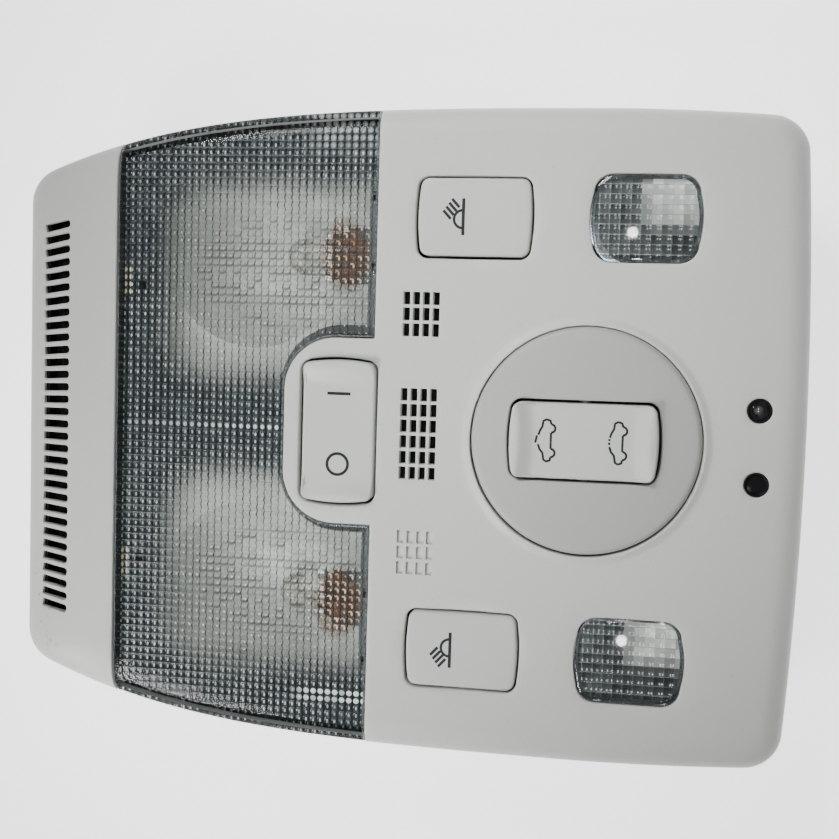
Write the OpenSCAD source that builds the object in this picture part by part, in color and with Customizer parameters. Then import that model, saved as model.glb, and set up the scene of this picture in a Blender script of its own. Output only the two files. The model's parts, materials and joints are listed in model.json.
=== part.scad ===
// Car dome light for the roof lining, seen from the cabin side.
// X runs along the unit from the vent end to the end with the two round eyes,
// Y runs across it and Z points out of the roof lining into the cabin.
// The unit lies on its flat back, so every height is measured from there.

/* [Trim panel] */
// Length of the trim panel
panel_l = 206.2; // [205:0.1:235]
// Half of the panel's largest width
panel_half_w = 84; // [83:0.1:100]
// Place of the largest width, right of the middle
wide_x = 45; // [38:1:48]
// Radius of the four corners in plan
corner_r = 10; // [6:0.5:14]
// Height of the cabin side above the back
face_z = 42; // [34:0.5:60]
// Thickness of the face
plate_t = 2.5; // [1.5:0.1:4]
// Depth of the skirt round the panel
skirt_h = 12; // [6:0.5:18]

/* [Main lens] */
// Width of the trim strip with the vents, left of the lens
strip_w = 26.3; // [24:0.1:28]
// Right seam between lens and trim
lens_x1 = -6.4; // [-7:0.1:-5]
// Depth from the face to the ledge that carries the lens
lens_seat = 5.5; // [4:0.1:8]
// Thickness of the lens
lens_t = 2.8; // [1.5:0.1:4]
// Pitch of the flutes inside the lens
flute_pitch = 1.95; // [1.2:0.05:4]
// Gap along the seams
seam = 0.2; // [0.1:0.05:0.5]
// Left end of the trim tongue between the two lamps
tongue_x = -30.4; // [-40:0.1:-24]
// Half width of the tongue
tongue_half_w = 24.6; // [20:0.1:30]
// Corner radius of the tongue
tongue_r = 14; // [8:0.5:18]

/* [Rocker switches] */
// Width of a rocker cap
rocker_w = 19.2; // [14:0.1:26]
// Length of a rocker cap over its bowed ends
rocker_l = 37.2; // [28:0.1:48]
// How far the ends of the cap are bowed
rocker_bow = 2; // [0:0.1:4]
// Gap round a rocker cap
rocker_gap = 0.7; // [0.4:0.05:1]
// Height of the finger lips above the cap face
lip_h = 1.8; // [0.8:0.1:3]
// Radius of the steel pivot pins
pin_r = 1.5; // [1:0.05:2.5]
// Running clearance round a pivot pin
pin_clear = 0.05; // [0.02:0.01:0.1]
// Middle of the dome rocker
dome_x = -15.25; // [-20:0.05:-8]
// Middle of the roof switch disc
disc_x = 48.5; // [40:0.1:60]
// Radius of the roof switch disc
disc_r = 29; // [24:0.1:34]
// How far the disc stands above the face at its rim
disc_proud = 0.9; // [0.2:0.1:2]
// Rise of the disc from rim to middle
disc_dome = 1.5; // [0.5:0.1:3]

/* [Reading lamps] */
// Middle of the reading buttons along the panel
button_x = 18.7; // [10:0.1:26]
// Middle of the reading buttons across the panel
button_y = 55.7; // [48:0.1:62]
// Length of a reading button
button_l = 29; // [20:0.1:36]
// Width of a reading button
button_w = 19.65; // [14:0.05:26]
// Gap round a reading button
button_gap = 0.5; // [0.3:0.05:0.8]
// Height of a button above the face
button_proud = 0.7; // [0:0.1:2]
// Travel of a button
button_travel = 1.8; // [1:0.1:3]
// Middle of the reading lenses along the panel
spot_x = 61.5; // [54:0.1:70]
// Middle of the reading lenses across the panel
spot_y = 56; // [50:0.1:62]
// Length of a reading lens
spot_l = 27.4; // [20:0.1:34]
// Width of a reading lens
spot_w = 21.6; // [16:0.1:28]

/* [Vents and grilles] */
// Number of vent slots
vent_count = 32; // [16:2:44]
// Distance from the vent end of the panel to the middle of the slots
vent_in = 9.45; // [7:0.05:12]
// Distance between vent slots
vent_pitch = 3.27; // [2.6:0.01:4]
// Tilt of the outermost slots, in degrees
vent_fan = 12.5; // [0:0.5:20]
// Length of a vent slot
vent_l = 6.9; // [4:0.1:10]
// Width of a vent slot
vent_w = 1.7; // [1:0.1:2.4]
// Hole of the microphone grilles, along the panel
grille_l = 1.7; // [1:0.05:2.4]
// Hole of the microphone grilles, across the panel
grille_w = 3.25; // [2:0.05:5]

/* [Lamps] */
// Distance from the right end of the panel to the two eyes
eye_in = 12.2; // [10:0.1:14]
// Middle of the two lamp bowls along the panel
bowl_x = -41; // [-42:0.5:-40]
// Middle of the two lamp bowls across the panel
bowl_y = 46; // [45:0.5:47]
// Radius of a lamp bowl at its mouth
bowl_r = 25; // [20:0.5:26]
// Radius of a wedge bulb
bulb_r = 5; // [4:0.1:6]

/* [Rear housing] */
// Distance from the vent end of the panel to the rear housing
house_left = 15.1; // [14:0.1:17]
// Gap between trim outline and housing wall
house_in = 5; // [4:0.5:6]
// Wall of the rear housing
house_t = 2.2; // [1.6:0.1:3]
// Height of the circuit board
board_z = 16; // [12:0.5:18]
// Thickness of the circuit board
board_t = 1.6; // [1:0.1:2]

/* [Hidden] */
$fn = 64;
e = 0.25;
sides = [1, -1];
end_x = panel_l / 2;
lens_x0 = strip_w - end_x;
house_x0 = house_left - end_x;
under_z = face_z - plate_t;
ledge_z = face_z - lens_seat;
ledge_t = 2.5;
skirt_z = face_z - skirt_h;
left_corner = [corner_r - end_x, corner_y(corner_r - end_x)];
right_end = end_bow(panel_half_w - 12);
right_corner = [right_end - corner_r, corner_y(right_end - corner_r)];
house_z = ledge_z - ledge_t;
board_top = board_z + board_t;
carrier_z = 30;
carrier_t = 2;
swing = 5;
pivot_drop = 5;
pivot_z = face_z - pivot_drop;
disc_lift = 2;
roof_x = disc_x - 0.45;
bow_r = (pow(rocker_w / 2, 2) + pow(rocker_bow, 2)) / (2 * rocker_bow);
disc_rim = face_z + disc_proud;
disc_top = disc_rim + disc_dome;
disc_sphere = (disc_r * disc_r + disc_dome * disc_dome) / (2 * disc_dome);
eye_x = end_x - eye_in;
eye_y = 9.2;
eye_r = 3.1;
grille_x = 1.8;
grille_dx = 2.56;
grille_dy = 4.07;
mic_y = [0, 30.9];
mic_x = grille_x + 1.5 * grille_dx;
bulb_z = 26;
bulb_x = bowl_x + bowl_r - 2;
bowl_z = 33;
bowl_depth = 14;
bowl_sphere = (bowl_r * bowl_r + bowl_depth * bowl_depth) / (2 * bowl_depth);
holder_r = 7;
screw_x = [lens_x0 - 4.6, 16, end_x - 15.1];
screw_edge = [18, 13.3, 18.6];
screws = [for (i = [0:2]) for (s = sides) [screw_x[i], s * (side_y(screw_x[i]) - screw_edge[i])]];
board_x0 = 2;
board_half_w = panel_half_w - 20;
board_clear = 0.6;
board_posts = [[8, 44], [8, -44], [84, 30], [84, -30]];
clip_y = 38;
pad_y = clip_y - 1.4;
boss_z = 20;
post_r = 2.4;
posts = [[lens_x0 + 4.8, side_y(lens_x0 + 4.8) - 13.6], [lens_x0 + 4.8, 14], [lens_x1 - 2.6, side_y(lens_x1 - 2.6) - 13.2],
  [tongue_x - 3.6, 14]];
mic_z = 32;
socket_h = 8.3;
foam_z = mic_z + 5.4;
clip_spots = [[-20, 1], [-20, -1], [60, 1], [60, -1]];
screw_seat = 12;
screw_r = 1.5;
connector_at = [66, 0];
plug_l = 30;
plug_w = 13;

// Half width of the panel at a place along it
function side_y(x) = x > wide_x
  ? panel_half_w - pow(x - wide_x, 2) / 1300
  : panel_half_w - 0.000143 * pow(wide_x - x, 2) - 0.0000000337 * pow(wide_x - x, 4);

// Place of the bowed right end at a distance from the middle line
function end_bow(y) = end_x - y * y / 2200;

// Rectangle with rounded corners round the origin
module rounded(l, w, r) {
  square([l - 2 * r, w], center = true);
  square([l, w - 2 * r], center = true);
  for (sx = sides)
    for (sy = sides)
      translate([sx * (l / 2 - r), sy * (w / 2 - r)])
        circle(r);
}

// Angle at which the long side rises towards its widest place
function side_angle(x) = x > wide_x
  ? atan((wide_x - x) / 650)
  : atan(0.000286 * (wide_x - x) + 0.0000001348 * pow(wide_x - x, 3));

// Point of the long side, drawn in by a distance
function side_point(x, inset) = [x + inset * sin(side_angle(x)), side_y(x) - inset * cos(side_angle(x))];

// Middle of a corner that runs smoothly into the long side
function corner_y(x) = side_y(x - corner_r * sin(side_angle(x)))
  - corner_r * cos(side_angle(x - corner_r * sin(side_angle(x))));

// Point of a corner
function corner_point(c, a, inset) = [c[0] + (corner_r - inset) * cos(a), c[1] + (corner_r - inset) * sin(a)];

// Upper half of the panel's outline from left to right; the left part is drawn in further by its own distance
function half_outline(inset, left) = [for (p = concat(
  [for (a = [180:-13.5:112]) corner_point(left_corner, a, inset)],
  [for (x = [-86:14:82]) side_point(x, inset)],
  [for (a = [86:-16.4:3]) corner_point(right_corner, a, inset)],
  [for (y = [48, 24, 0.5]) [end_bow(y) - inset, y]]))
  [p[0] + left * pow(max(0, wide_x - p[0]) / (wide_x + end_x), 3), p[1]]];

// Plan of the panel, drawn in by a distance
module plan(inset, left = 0) {
  up = half_outline(inset, left);
  n = len(up) - 1;
  polygon(concat(up, [for (i = [n:-1:0]) [up[i][0], -up[i][1]]]));
}

// One thin layer of the panel's shape
module layer(z, inset, left) {
  translate([0, 0, z - e])
    linear_extrude(e)
      plan(inset, left);
}

// Outer shape of the panel: rolled edges and a vent strip that falls away
module panel_shape() {
  hull() {
    layer(ledge_z + e, 0, 0);
    layer(face_z - 3.4, 0.5, 0.3);
    layer(face_z - 1.7, 1.6, 2.2);
    layer(face_z - 0.6, 3.4, 9);
    layer(face_z, 6.5, 20);
  }
}

// Plan of the tongue, grown or shrunk by a distance
module tongue(grow) {
  w = tongue_half_w + grow;
  r = tongue_r + grow;
  x = tongue_x - grow;
  translate([x + r, -w])
    square([lens_x1 + 8 - x - r, 2 * w]);
  translate([x, -w + r])
    square([r + 1, 2 * (w - r)]);
  for (s = sides)
    translate([x + r, s * (w - r)])
      circle(r);
}

// Plan of a rocker cap, long side along Y, grown by a gap
module rocker_plan(gap) {
  intersection() {
    square([rocker_w + 2 * gap, rocker_l + 2 * gap], center = true);
    for (s = [1])
      translate([0, bow_r - rocker_l / 2])
        circle(bow_r + gap);
    translate([0, rocker_l / 2 - bow_r])
      circle(bow_r + gap);
  }
}

// Plan of a reading button, grown by a gap
module button_plan(gap) {
  r = 60 + gap;
  intersection() {
    rounded(button_l + 2 * gap, button_w + 2 * gap, 3 + gap);
    translate([r - button_l / 2 - gap, 0])
      circle(r);
    translate([button_l / 2 + gap - r, 0])
      circle(r);
  }
}

// Barrel plan of a reading lens, grown by a gap
module spot_plan(gap) {
  r = 24.6 + gap;
  intersection() {
    rounded(spot_l + 2 * gap, spot_w + 2 * gap, 5 + gap);
    translate([r - spot_l / 2 - gap, 0])
      circle(r);
    translate([spot_l / 2 + gap - r, 0])
      circle(r);
  }
}

// Ball cutter for the shallow dishes in the face
module round_dish(r, depth) {
  big = (r * r + depth * depth) / (2 * depth);
  translate([0, 0, face_z + big - depth])
    sphere(big, $fn = 240);
}

// Shallow hollow with a pointed oval plan, cut round each reading button
module oval_dish(half_l, half_w, depth) {
  r = (half_l * half_l + half_w * half_w) / (2 * half_w);
  intersection() {
    round_dish(half_l + 0.3, depth);
    translate([0, 0, under_z])
      linear_extrude(5)
        intersection() {
          translate([0, r - half_w])
            circle(r);
          translate([0, half_w - r])
            circle(r);
        }
  }
}

// The fanned row of vent slots
module vent_slots() {
  for (i = [0:vent_count - 1]) {
    y = (i - (vent_count - 1) / 2) * vent_pitch;
    translate([vent_in - end_x, y])
      rotate(-vent_fan * y / 51)
        square([vent_l, vent_w], center = true);
  }
}

// Open microphone grilles
module grille_holes() {
  for (col = [0:3]) {
    for (row = [0:5])
      translate([grille_x + col * grille_dx, (row - 2.5) * grille_dy])
        square([grille_l, grille_w], center = true);
    for (row = [-1:1])
      translate([grille_x + col * grille_dx, 30.9 + row * grille_dy])
        square([grille_l, grille_w], center = true);
  }
}

// Blind third grille: only the outlines are pressed into the face
module blind_grille() {
  for (col = [0:3])
    for (row = [-1:1])
      translate([grille_x + col * grille_dx, -30.9 + row * grille_dy, face_z - 0.3])
        linear_extrude(1)
          difference() {
            square([grille_l + 0.2, grille_w + 0.2], center = true);
            square([grille_l - 0.5, grille_w - 0.5], center = true);
          }
}

// Plan of the seat that carries the main lens
module lens_area(inset) {
  translate([lens_x0 + inset, -100])
    square([lens_x1 - lens_x0 - 2 * inset, 200]);
}

// Seat of the lens, cut out of the face around the tongue
module seat_cut() {
  difference() {
    lens_area(0);
    tongue(-0.3);
  }
}

// Walls that hang from the trim round the lens seat and the tongue
module seat_walls() {
  intersection() {
    plan(1);
    union() {
      translate([lens_x0 - 2.2, -100])
        square([2.2, 200]);
      for (s = sides)
        translate([lens_x1, s > 0 ? tongue_half_w - 1 : -tongue_half_w + 1 - 70])
          square([2.2, 70]);
      difference() {
        tongue(-0.3);
        tongue(-2.5);
        translate([lens_x1 + 2.2, -50])
          square([50, 100]);
      }
    }
  }
}

// Flat ledge under the rim of the lens
module ledge() {
  difference() {
    intersection() {
      plan(1);
      lens_area(-1);
    }
    difference() {
      intersection() {
        plan(8);
        lens_area(3.2);
      }
      tongue(-1);
    }
    tongue(-2.5);
  }
}

// Everything that opens the face of the trim
module face_openings() {
  vent_slots();
  grille_holes();
  translate([dome_x, 0])
    rocker_plan(rocker_gap);
  translate([disc_x, 0])
    circle(disc_r + 0.5);
  for (s = sides) {
    translate([button_x, s * button_y])
      button_plan(button_gap);
    translate([spot_x, s * spot_y])
      spot_plan(0.2);
    translate([eye_x, s * eye_y])
      circle(eye_r);
  }
}

// Rolled upper part of the trim: face and the walls just behind it
module trim_top() {
  intersection() {
    panel_shape();
    union() {
      translate([0, 0, under_z])
        linear_extrude(plate_t + 1)
          difference() {
            plan(-1);
            seat_cut();
            face_openings();
          }
      translate([0, 0, ledge_z - 1])
        linear_extrude(under_z - ledge_z + 1)
          difference() {
            union() {
              difference() {
                plan(-1);
                plan(2.2);
              }
              seat_walls();
            }
            seat_cut();
          }
    }
  }
}

// Lower part of the trim: straight skirt, walls and ledge
module trim_base() {
  translate([0, 0, house_z])
    linear_extrude(ledge_t)
      union() {
        difference() {
          plan(0);
          plan(2.2);
        }
        seat_walls();
        ledge();
      }
  translate([0, 0, skirt_z])
    linear_extrude(house_z - skirt_z)
      difference() {
        plan(0);
        plan(2.2);
      }
}

// Long screw bosses behind the face
module trim_bosses() {
  for (p = screws)
    translate([p[0], p[1], boss_z])
      difference() {
        cylinder(r = 3.5, h = under_z - boss_z + 0.4);
        translate([0, 0, -1])
          cylinder(r = screw_r, h = 12);
      }
}

module trim_panel() {
  color("#c4c7c1")
    difference() {
      union() {
        trim_top();
        trim_base();
        trim_bosses();
      }
      blind_grille();
      translate([disc_x, 0, face_z - 0.5])
        cylinder(r1 = disc_r + 0.5, r2 = disc_r + 2.5, h = 1);
      for (s = sides) {
        translate([button_x, s * button_y, 0])
          oval_dish(16.8, 13.8, 1);
        translate([spot_x, s * spot_y, 0])
          round_dish(20, 1.2);
        translate([eye_x, s * eye_y, face_z - 0.4])
          cylinder(r1 = eye_r, r2 = eye_r + 0.8, h = 0.8);
      }
    }
}

// Saw-tooth block that gives the lens its flutes on the inside
module flute_block(top, depth) {
  n = floor((lens_x1 - lens_x0) / flute_pitch);
  x0 = (lens_x0 + lens_x1 - n * flute_pitch) / 2;
  teeth = [for (i = [0:2 * n]) [x0 + i * flute_pitch / 2, top + (i % 2) * depth]];
  translate([0, 90, 0])
    rotate([90, 0, 0])
      linear_extrude(180)
        polygon(concat(teeth, [[x0 + n * flute_pitch, 20], [x0, 20]]));
}

module main_lens() {
  color("#dfe7e8", 0.45)
    difference() {
      intersection() {
        translate([0, 0, -0.3])
          panel_shape();
        translate([lens_x0 + seam, -100, ledge_z])
          cube([lens_x1 - lens_x0 - 2 * seam, 200, 20]);
      }
      translate([0, 0, skirt_z])
        linear_extrude(20)
          tongue(0);
      intersection() {
        translate([0, 0, skirt_z])
          linear_extrude(12)
            difference() {
              intersection() {
                plan(4.2);
                lens_area(2.2);
              }
              tongue(2);
            }
        flute_block(face_z - 0.3 - lens_t, 0.7);
      }
      for (y = [61, 43, -43, -61])
        translate([lens_x1 - 1.4, y - 1.4, ledge_z - 1])
          cube([3, 2.8, 10]);
    }
}

// Two brass springs beside the left seam of the lens
module lens_clips() {
  color("#b8913f")
    for (s = sides)
      translate([lens_x0 + 3.4, s * clip_y + 3, carrier_z + carrier_t])
        rotate([90, 0, 0])
          linear_extrude(6)
            polygon([[0, 0], [4.6, 0], [4.6, 0.6], [1.2, 0.6], [1.6, 3.2], [0.4, 4.6],
              [-0.2, 4.3], [0.9, 3.1], [0.5, 0.6], [0, 0.6]]);
}

// Black pads that hold the springs down
module clip_pads() {
  color("#17181a")
    for (s = sides)
      translate([lens_x0 + 5.6, s * pad_y - 1.1, carrier_z + carrier_t + 0.6])
        cube([2.2, 2.2, 1.6]);
}

// Dark plate behind the lens that carries the lamp bowls
module lamp_carrier() {
  color("#4a5158")
    difference() {
      translate([0, 0, carrier_z])
        linear_extrude(carrier_t)
          difference() {
            intersection() {
              plan(house_in + house_t + 0.3);
              translate([lens_x0 - 0.6, -100])
                square([lens_x1 - lens_x0 + 2.6, 200]);
            }
            tongue(0.8);
            for (s = sides)
              translate([bowl_x, s * bowl_y])
                circle(bowl_r + 1.2);
          }
      for (s = sides)
        translate([bulb_x - 4, s * bowl_y, bulb_z])
          rotate([0, 90, 0])
            cylinder(r = holder_r + 0.4, h = 30);
    }
  color("#4a5158")
    for (p = posts)
      for (s = sides)
        translate([p[0], s * p[1], house_t])
          cylinder(r = post_r, h = carrier_z - house_t);
}

// Bowl reflector with a round rim and a notch for its bulb
module dome_bowl(s) {
  c = bowl_z - bowl_depth + bowl_sphere;
  color("#c9cdca")
    translate([bowl_x, s * bowl_y, 0])
      difference() {
        union() {
          rotate_extrude()
            difference() {
              intersection() {
                translate([0, c])
                  circle(bowl_sphere + 1.2);
                translate([0, 0])
                  square([bowl_r + 1.2, bowl_z]);
              }
              translate([0, c])
                circle(bowl_sphere);
            }
          translate([0, 0, carrier_z + carrier_t])
            difference() {
              cylinder(r = bowl_r + 2.2, h = bowl_z - carrier_z - carrier_t);
              translate([0, 0, -1])
                cylinder(r = bowl_r + 0.1, h = 5);
            }
        }
        translate([0, 0, bulb_z])
          rotate([0, 90, 0])
            cylinder(r = bulb_r + 1.1, h = 40);
        translate([0, -bulb_r - 1.1, bulb_z])
          cube([40, 2 * bulb_r + 2.2, 20]);
      }
}

module dome_bowl_upper() {
  dome_bowl(1);
}

module dome_bowl_lower() {
  dome_bowl(-1);
}

// Wedge bulb along its own axis: flat glass foot, round bulb, filament posts
module wedge_bulb() {
  color("#e8dcc0", 0.6) {
    translate([-4.4, -1, -9])
      cube([8.8, 2, 9.2]);
    cylinder(r = bulb_r, h = 11);
    translate([0, 0, 11])
      sphere(bulb_r);
  }
}

module dome_bulb(s) {
  translate([bulb_x, s * bowl_y, bulb_z])
    rotate([0, -90, 0])
      wedge_bulb();
}

module dome_bulb_upper() {
  dome_bulb(1);
}

module dome_bulb_lower() {
  dome_bulb(-1);
}

// Amber brown socket with a slot that grips the glass foot
module bulb_holder(z_down) {
  difference() {
    union() {
      translate([0, 0, -z_down])
        cylinder(r = holder_r, h = z_down);
      translate([0, 0, -3])
        cylinder(r = holder_r, h = 3);
    }
    translate([-4.4, -1, -9])
      cube([8.8, 2, 10]);
  }
}

module dome_holder(s) {
  color("#8a5a33")
    translate([bulb_x, s * bowl_y, bulb_z])
      rotate([0, -90, 0])
        bulb_holder(12);
  color("#8a5a33")
    translate([bulb_x + 2, s * bowl_y - 4, house_t])
      cube([8, 8, bulb_z - house_t - 6]);
}

module dome_holder_upper() {
  dome_holder(1);
}

module dome_holder_lower() {
  dome_holder(-1);
}

// Stamped strips that feed the dome bulbs from the board
module contact_strips() {
  x0 = bulb_x + 3;
  x1 = 5;
  color("#b8913f")
    for (s = sides)
      translate([0, s * 34 + 2, 0])
        rotate([90, 0, 0])
          linear_extrude(4)
            polygon([[x0, 27.4], [x1, 27.4], [x1, board_top], [x1 + 4, board_top],
              [x1 + 4, board_top + 0.6], [x1 + 0.6, board_top + 0.6], [x1 + 0.6, 28], [x0, 28]]);
  color("#b8913f")
    for (s = sides)
      translate([x0, s > 0 ? 36 : -bowl_y + holder_r - 0.1, 27.4])
        cube([4, bowl_y - holder_r + 0.1 - 36, 0.6]);
}

// Plan of the rear housing, drawn in by a distance
module house_plan(inset) {
  intersection() {
    plan(house_in + inset);
    translate([house_x0 + inset, -100])
      square([end_x - house_in - house_x0 - 2 * inset, 200]);
  }
}

module rear_housing() {
  color("#2b2d2f")
    difference() {
      union() {
        difference() {
          linear_extrude(house_z)
            house_plan(0);
          translate([0, 0, house_t])
            linear_extrude(house_z)
              house_plan(house_t);
        }
        for (p = screws)
          translate([p[0], p[1], 0])
            cylinder(r = 4.2, h = boss_z);
        for (p = board_posts)
          translate([p[0], p[1], 0])
            cylinder(r = 3, h = board_z);
        for (p = clip_spots)
          translate([p[0] - 8, p[1] > 0 ? side_y(p[0]) - house_in - 3 : -side_y(p[0]) + house_in - 0.5, 5])
            cube([16, 3.5, 23]);
        for (x = [-60, -20])
          translate([x, -60, 0])
            cube([1.6, 120, 5]);
        for (x = [10, 40])
          translate([x, -66, 0])
            cube([1.6, 132, 5]);
        translate([connector_at[0] - plug_l / 2 - 2.2, connector_at[1] - plug_w / 2 - 2.2, 0])
          cube([plug_l + 4.4, plug_w + 4.4, 9]);
      }
      for (p = screws) {
        translate([p[0], p[1], -1])
          cylinder(r = 3.6, h = screw_seat + 1);
        translate([p[0], p[1], 1])
          cylinder(r = screw_r + 0.2, h = 30);
      }
      for (p = board_posts)
        translate([p[0], p[1], 6])
          cylinder(r = 1.1, h = 20);
      translate([connector_at[0] - plug_l / 2 - 0.2, connector_at[1] - plug_w / 2 - 0.2, -1])
        cube([plug_l + 0.4, plug_w + 0.4, 30]);
      for (s = sides)
        for (i = [-3:3])
          translate([bowl_x + i * 6, s * bowl_y, -1])
            translate([-1.5, -14, 0])
              cube([3, 28, 3.3]);
      for (s = sides)
        for (i = [-1:1])
          translate([spot_x + i * 6, s * spot_y, -1])
            translate([-1.5, -7, 0])
              cube([3, 14, 3.3]);
    }
}

// Pan-head screws, driven in from the back
module housing_screws() {
  color("#8f9499")
    for (p = screws)
      translate([p[0], p[1], screw_seat])
        difference() {
          union() {
            cylinder(r = screw_r, h = 16);
            translate([0, 0, -2.4])
              cylinder(r1 = 2.6, r2 = 3.1, h = 2.4);
          }
          translate([-0.5, -2, -3])
            cube([1, 4, 1.8]);
          translate([-2, -0.5, -3])
            cube([4, 1, 1.8]);
        }
}

// Spring steel leaves that hold the unit in the roof
module mounting_clips() {
  color("#9aa0a4")
    for (p = clip_spots)
      translate([p[0], p[1] * (side_y(p[0]) - house_in + 0.5), 0])
        mirror([0, p[1] > 0 ? 0 : 1, 0])
          translate([-6, 0, 0])
            rotate([90, 0, 90])
              linear_extrude(12)
                polygon([[0, 6], [0.8, 6], [0.8, 9.5], [4.1, 17], [4.1, 19], [1.4, 25.4],
                  [1.4, 27], [0.7, 27], [0.7, 25.2], [3.3, 18.8], [3.3, 17.2], [0.8, 11.4], [0.8, 24], [0, 24]]);
}

module circuit_board() {
  color("#2f6b3f")
    translate([0, 0, board_z])
      linear_extrude(board_t)
        difference() {
          intersection() {
            house_plan(house_t + board_clear);
            union() {
              translate([board_x0, -board_half_w])
                square([end_x - board_x0, 2 * board_half_w]);
              translate([dome_x - 13.75, -21.5])
                square([board_x0 - dome_x + 15, 43]);
            }
          }
          for (p = screws)
            translate([p[0], p[1]])
              circle(5);
          for (p = board_posts)
            translate([p[0], p[1]])
              circle(1.3);
        }
}

module board_screws() {
  color("#8f9499")
    for (p = board_posts)
      translate([p[0], p[1], board_top]) {
        cylinder(r = 2.3, h = 1.6);
        translate([0, 0, -8])
          cylinder(r = 1.1, h = 8.1);
      }
}

module connector_housing() {
  color("#1d1e20")
    difference() {
      translate([connector_at[0] - plug_l / 2, connector_at[1] - plug_w / 2, 0.8])
        cube([plug_l, plug_w, board_z - 0.8]);
      translate([connector_at[0] - plug_l / 2 + 1.3, connector_at[1] - plug_w / 2 + 1.3, 0])
        cube([plug_l - 2.6, plug_w - 2.6, 12]);
      translate([connector_at[0] - 3, connector_at[1] + plug_w / 2 - 1.5, 0])
        cube([6, 1, 9]);
    }
}

module connector_pins() {
  color("#c8b26a")
    for (i = [0:5])
      for (s = sides)
        translate([connector_at[0] + (i - 2.5) * 4 - 0.4, connector_at[1] + s * 2.4 - 0.4, 4])
          cube([0.8, 0.8, 8]);
}

// Well of a rocker switch with cheeks that hold the pivot pin
module rocker_well(z0, z1, pivot) {
  w = rocker_w / 2 + 0.55;
  l = rocker_l / 2 + 0.8;
  difference() {
    translate([-w - 2, -l - 1.3, z0])
      cube([2 * w + 4, 2 * l + 2.6, z1 - z0]);
    translate([-w, -l, pivot - 6.4])
      cube([2 * w, 2 * l, 20]);
    translate([-3.4, -4.4, pivot - 11])
      cube([6.8, 8.8, 20]);
    translate([-w - 3, 0, pivot])
      rotate([0, 90, 0])
        cylinder(r = pin_r, h = 2 * w + 6);
  }
}

module dome_switch_body() {
  color("#232527")
    intersection() {
      translate([dome_x, 0, 0])
        rocker_well(board_top, under_z - 0.2, pivot_z);
      linear_extrude(60)
        tongue(-2.8);
    }
}

// Side profile of a rocker cap: flat face with a raised lip at both ends
module rocker_profile(z) {
  half = rocker_l / 2;
  hollow = [for (a = [0:15:75]) [half - 7.6 + 5 * sin(a), z + lip_h * (1 - cos(a)) / (1 - cos(75))]];
  right = concat(hollow, [[half - 1.2, z + lip_h], [half - 0.4, z + lip_h - 0.5], [half + 0.2, z + lip_h - 1.6],
    [half + 0.2, z - 8]]);
  left = [for (i = [len(right) - 1:-1:0]) [-right[i][0], right[i][1]]];
  polygon(concat(left, right));
}

// Rocker cap with a hollow underside, a pivot boss and a switch finger
module rocker_cap(pivot) {
  top = pivot + pivot_drop + 0.6;
  difference() {
    union() {
      difference() {
        intersection() {
          translate([0, 0, pivot - 2.6])
            linear_extrude(20)
              rocker_plan(0);
          translate([-20, 0, 0])
            rotate([90, 0, 90])
              linear_extrude(40)
                rocker_profile(top);
        }
        translate([0, 0, pivot - 3])
          linear_extrude(5.6)
            intersection() {
              square([rocker_w - 3, rocker_l - 5.6], center = true);
              rocker_plan(-1.4);
            }
      }
      translate([-rocker_w / 2 + 1.2, 0, pivot])
        rotate([0, 90, 0])
          cylinder(r = 3, h = rocker_w - 2.4);
      translate([0, 0, pivot - 9.5])
        cylinder(r = 2, h = 9.5);
    }
    translate([-20, 0, pivot])
      rotate([0, 90, 0])
        cylinder(r = pin_r + pin_clear, h = 40);
  }
}

// On mark and off mark of the dome rocker
module dome_marks_plan() {
  translate([-3.1, 9.5])
    square([6.2, 0.7]);
  translate([0, -8.6])
    difference() {
      circle(3.1);
      circle(2.4);
    }
}

module dome_rocker() {
  color("#c6c9c3")
    translate([dome_x, 0, 0])
      difference() {
        rocker_cap(pivot_z);
        translate([0, 0, face_z + 0.4])
          linear_extrude(3)
            dome_marks_plan();
      }
}

module dome_rocker_marks() {
  color("#4a4d4f")
    translate([dome_x, 0, face_z + 0.4])
      linear_extrude(0.2)
        dome_marks_plan();
}

module rocker_pin() {
  rotate([0, 90, 0])
    cylinder(r = pin_r, h = rocker_w + 5.1, center = true);
}

module dome_rocker_pin() {
  color("#a9adb0")
    translate([dome_x, 0, pivot_z])
      rocker_pin();
}

module roof_switch_disc() {
  color("#c2c5bf")
    difference() {
      union() {
        translate([disc_x, 0, 0])
          rotate_extrude()
            difference() {
              intersection() {
                translate([0, disc_top - disc_sphere])
                  circle(disc_sphere, $fn = 720);
                polygon([[0, face_z - 7], [disc_r, face_z - 7], [disc_r, disc_rim - 1.1], [disc_r - 0.4, disc_rim - 0.4],
                  [disc_r - 1.2, disc_rim + 0.05], [disc_r - 1.2, disc_top + 1], [0, disc_top + 1]]);
              }
              intersection() {
                translate([0, disc_top - disc_sphere])
                  circle(disc_sphere - 2.4, $fn = 720);
                translate([-1, face_z - 8])
                  square([disc_r - 1, 12]);
              }
            }
        translate([disc_x, 0, under_z - 2])
          difference() {
            cylinder(r = disc_r + 2.5, h = 2);
            translate([0, 0, -1])
              cylinder(r = disc_r - 1, h = 4);
          }
      }
      translate([roof_x, 0, skirt_z])
        rotate([0, 0, 90])
          linear_extrude(20)
            rocker_plan(rocker_gap);
    }
}

module roof_switch_body() {
  color("#232527")
    translate([roof_x, 0, 0])
      rotate([0, 0, 90])
        rocker_well(board_top, pivot_z + disc_lift + 1.9, pivot_z + disc_lift);
}

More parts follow.
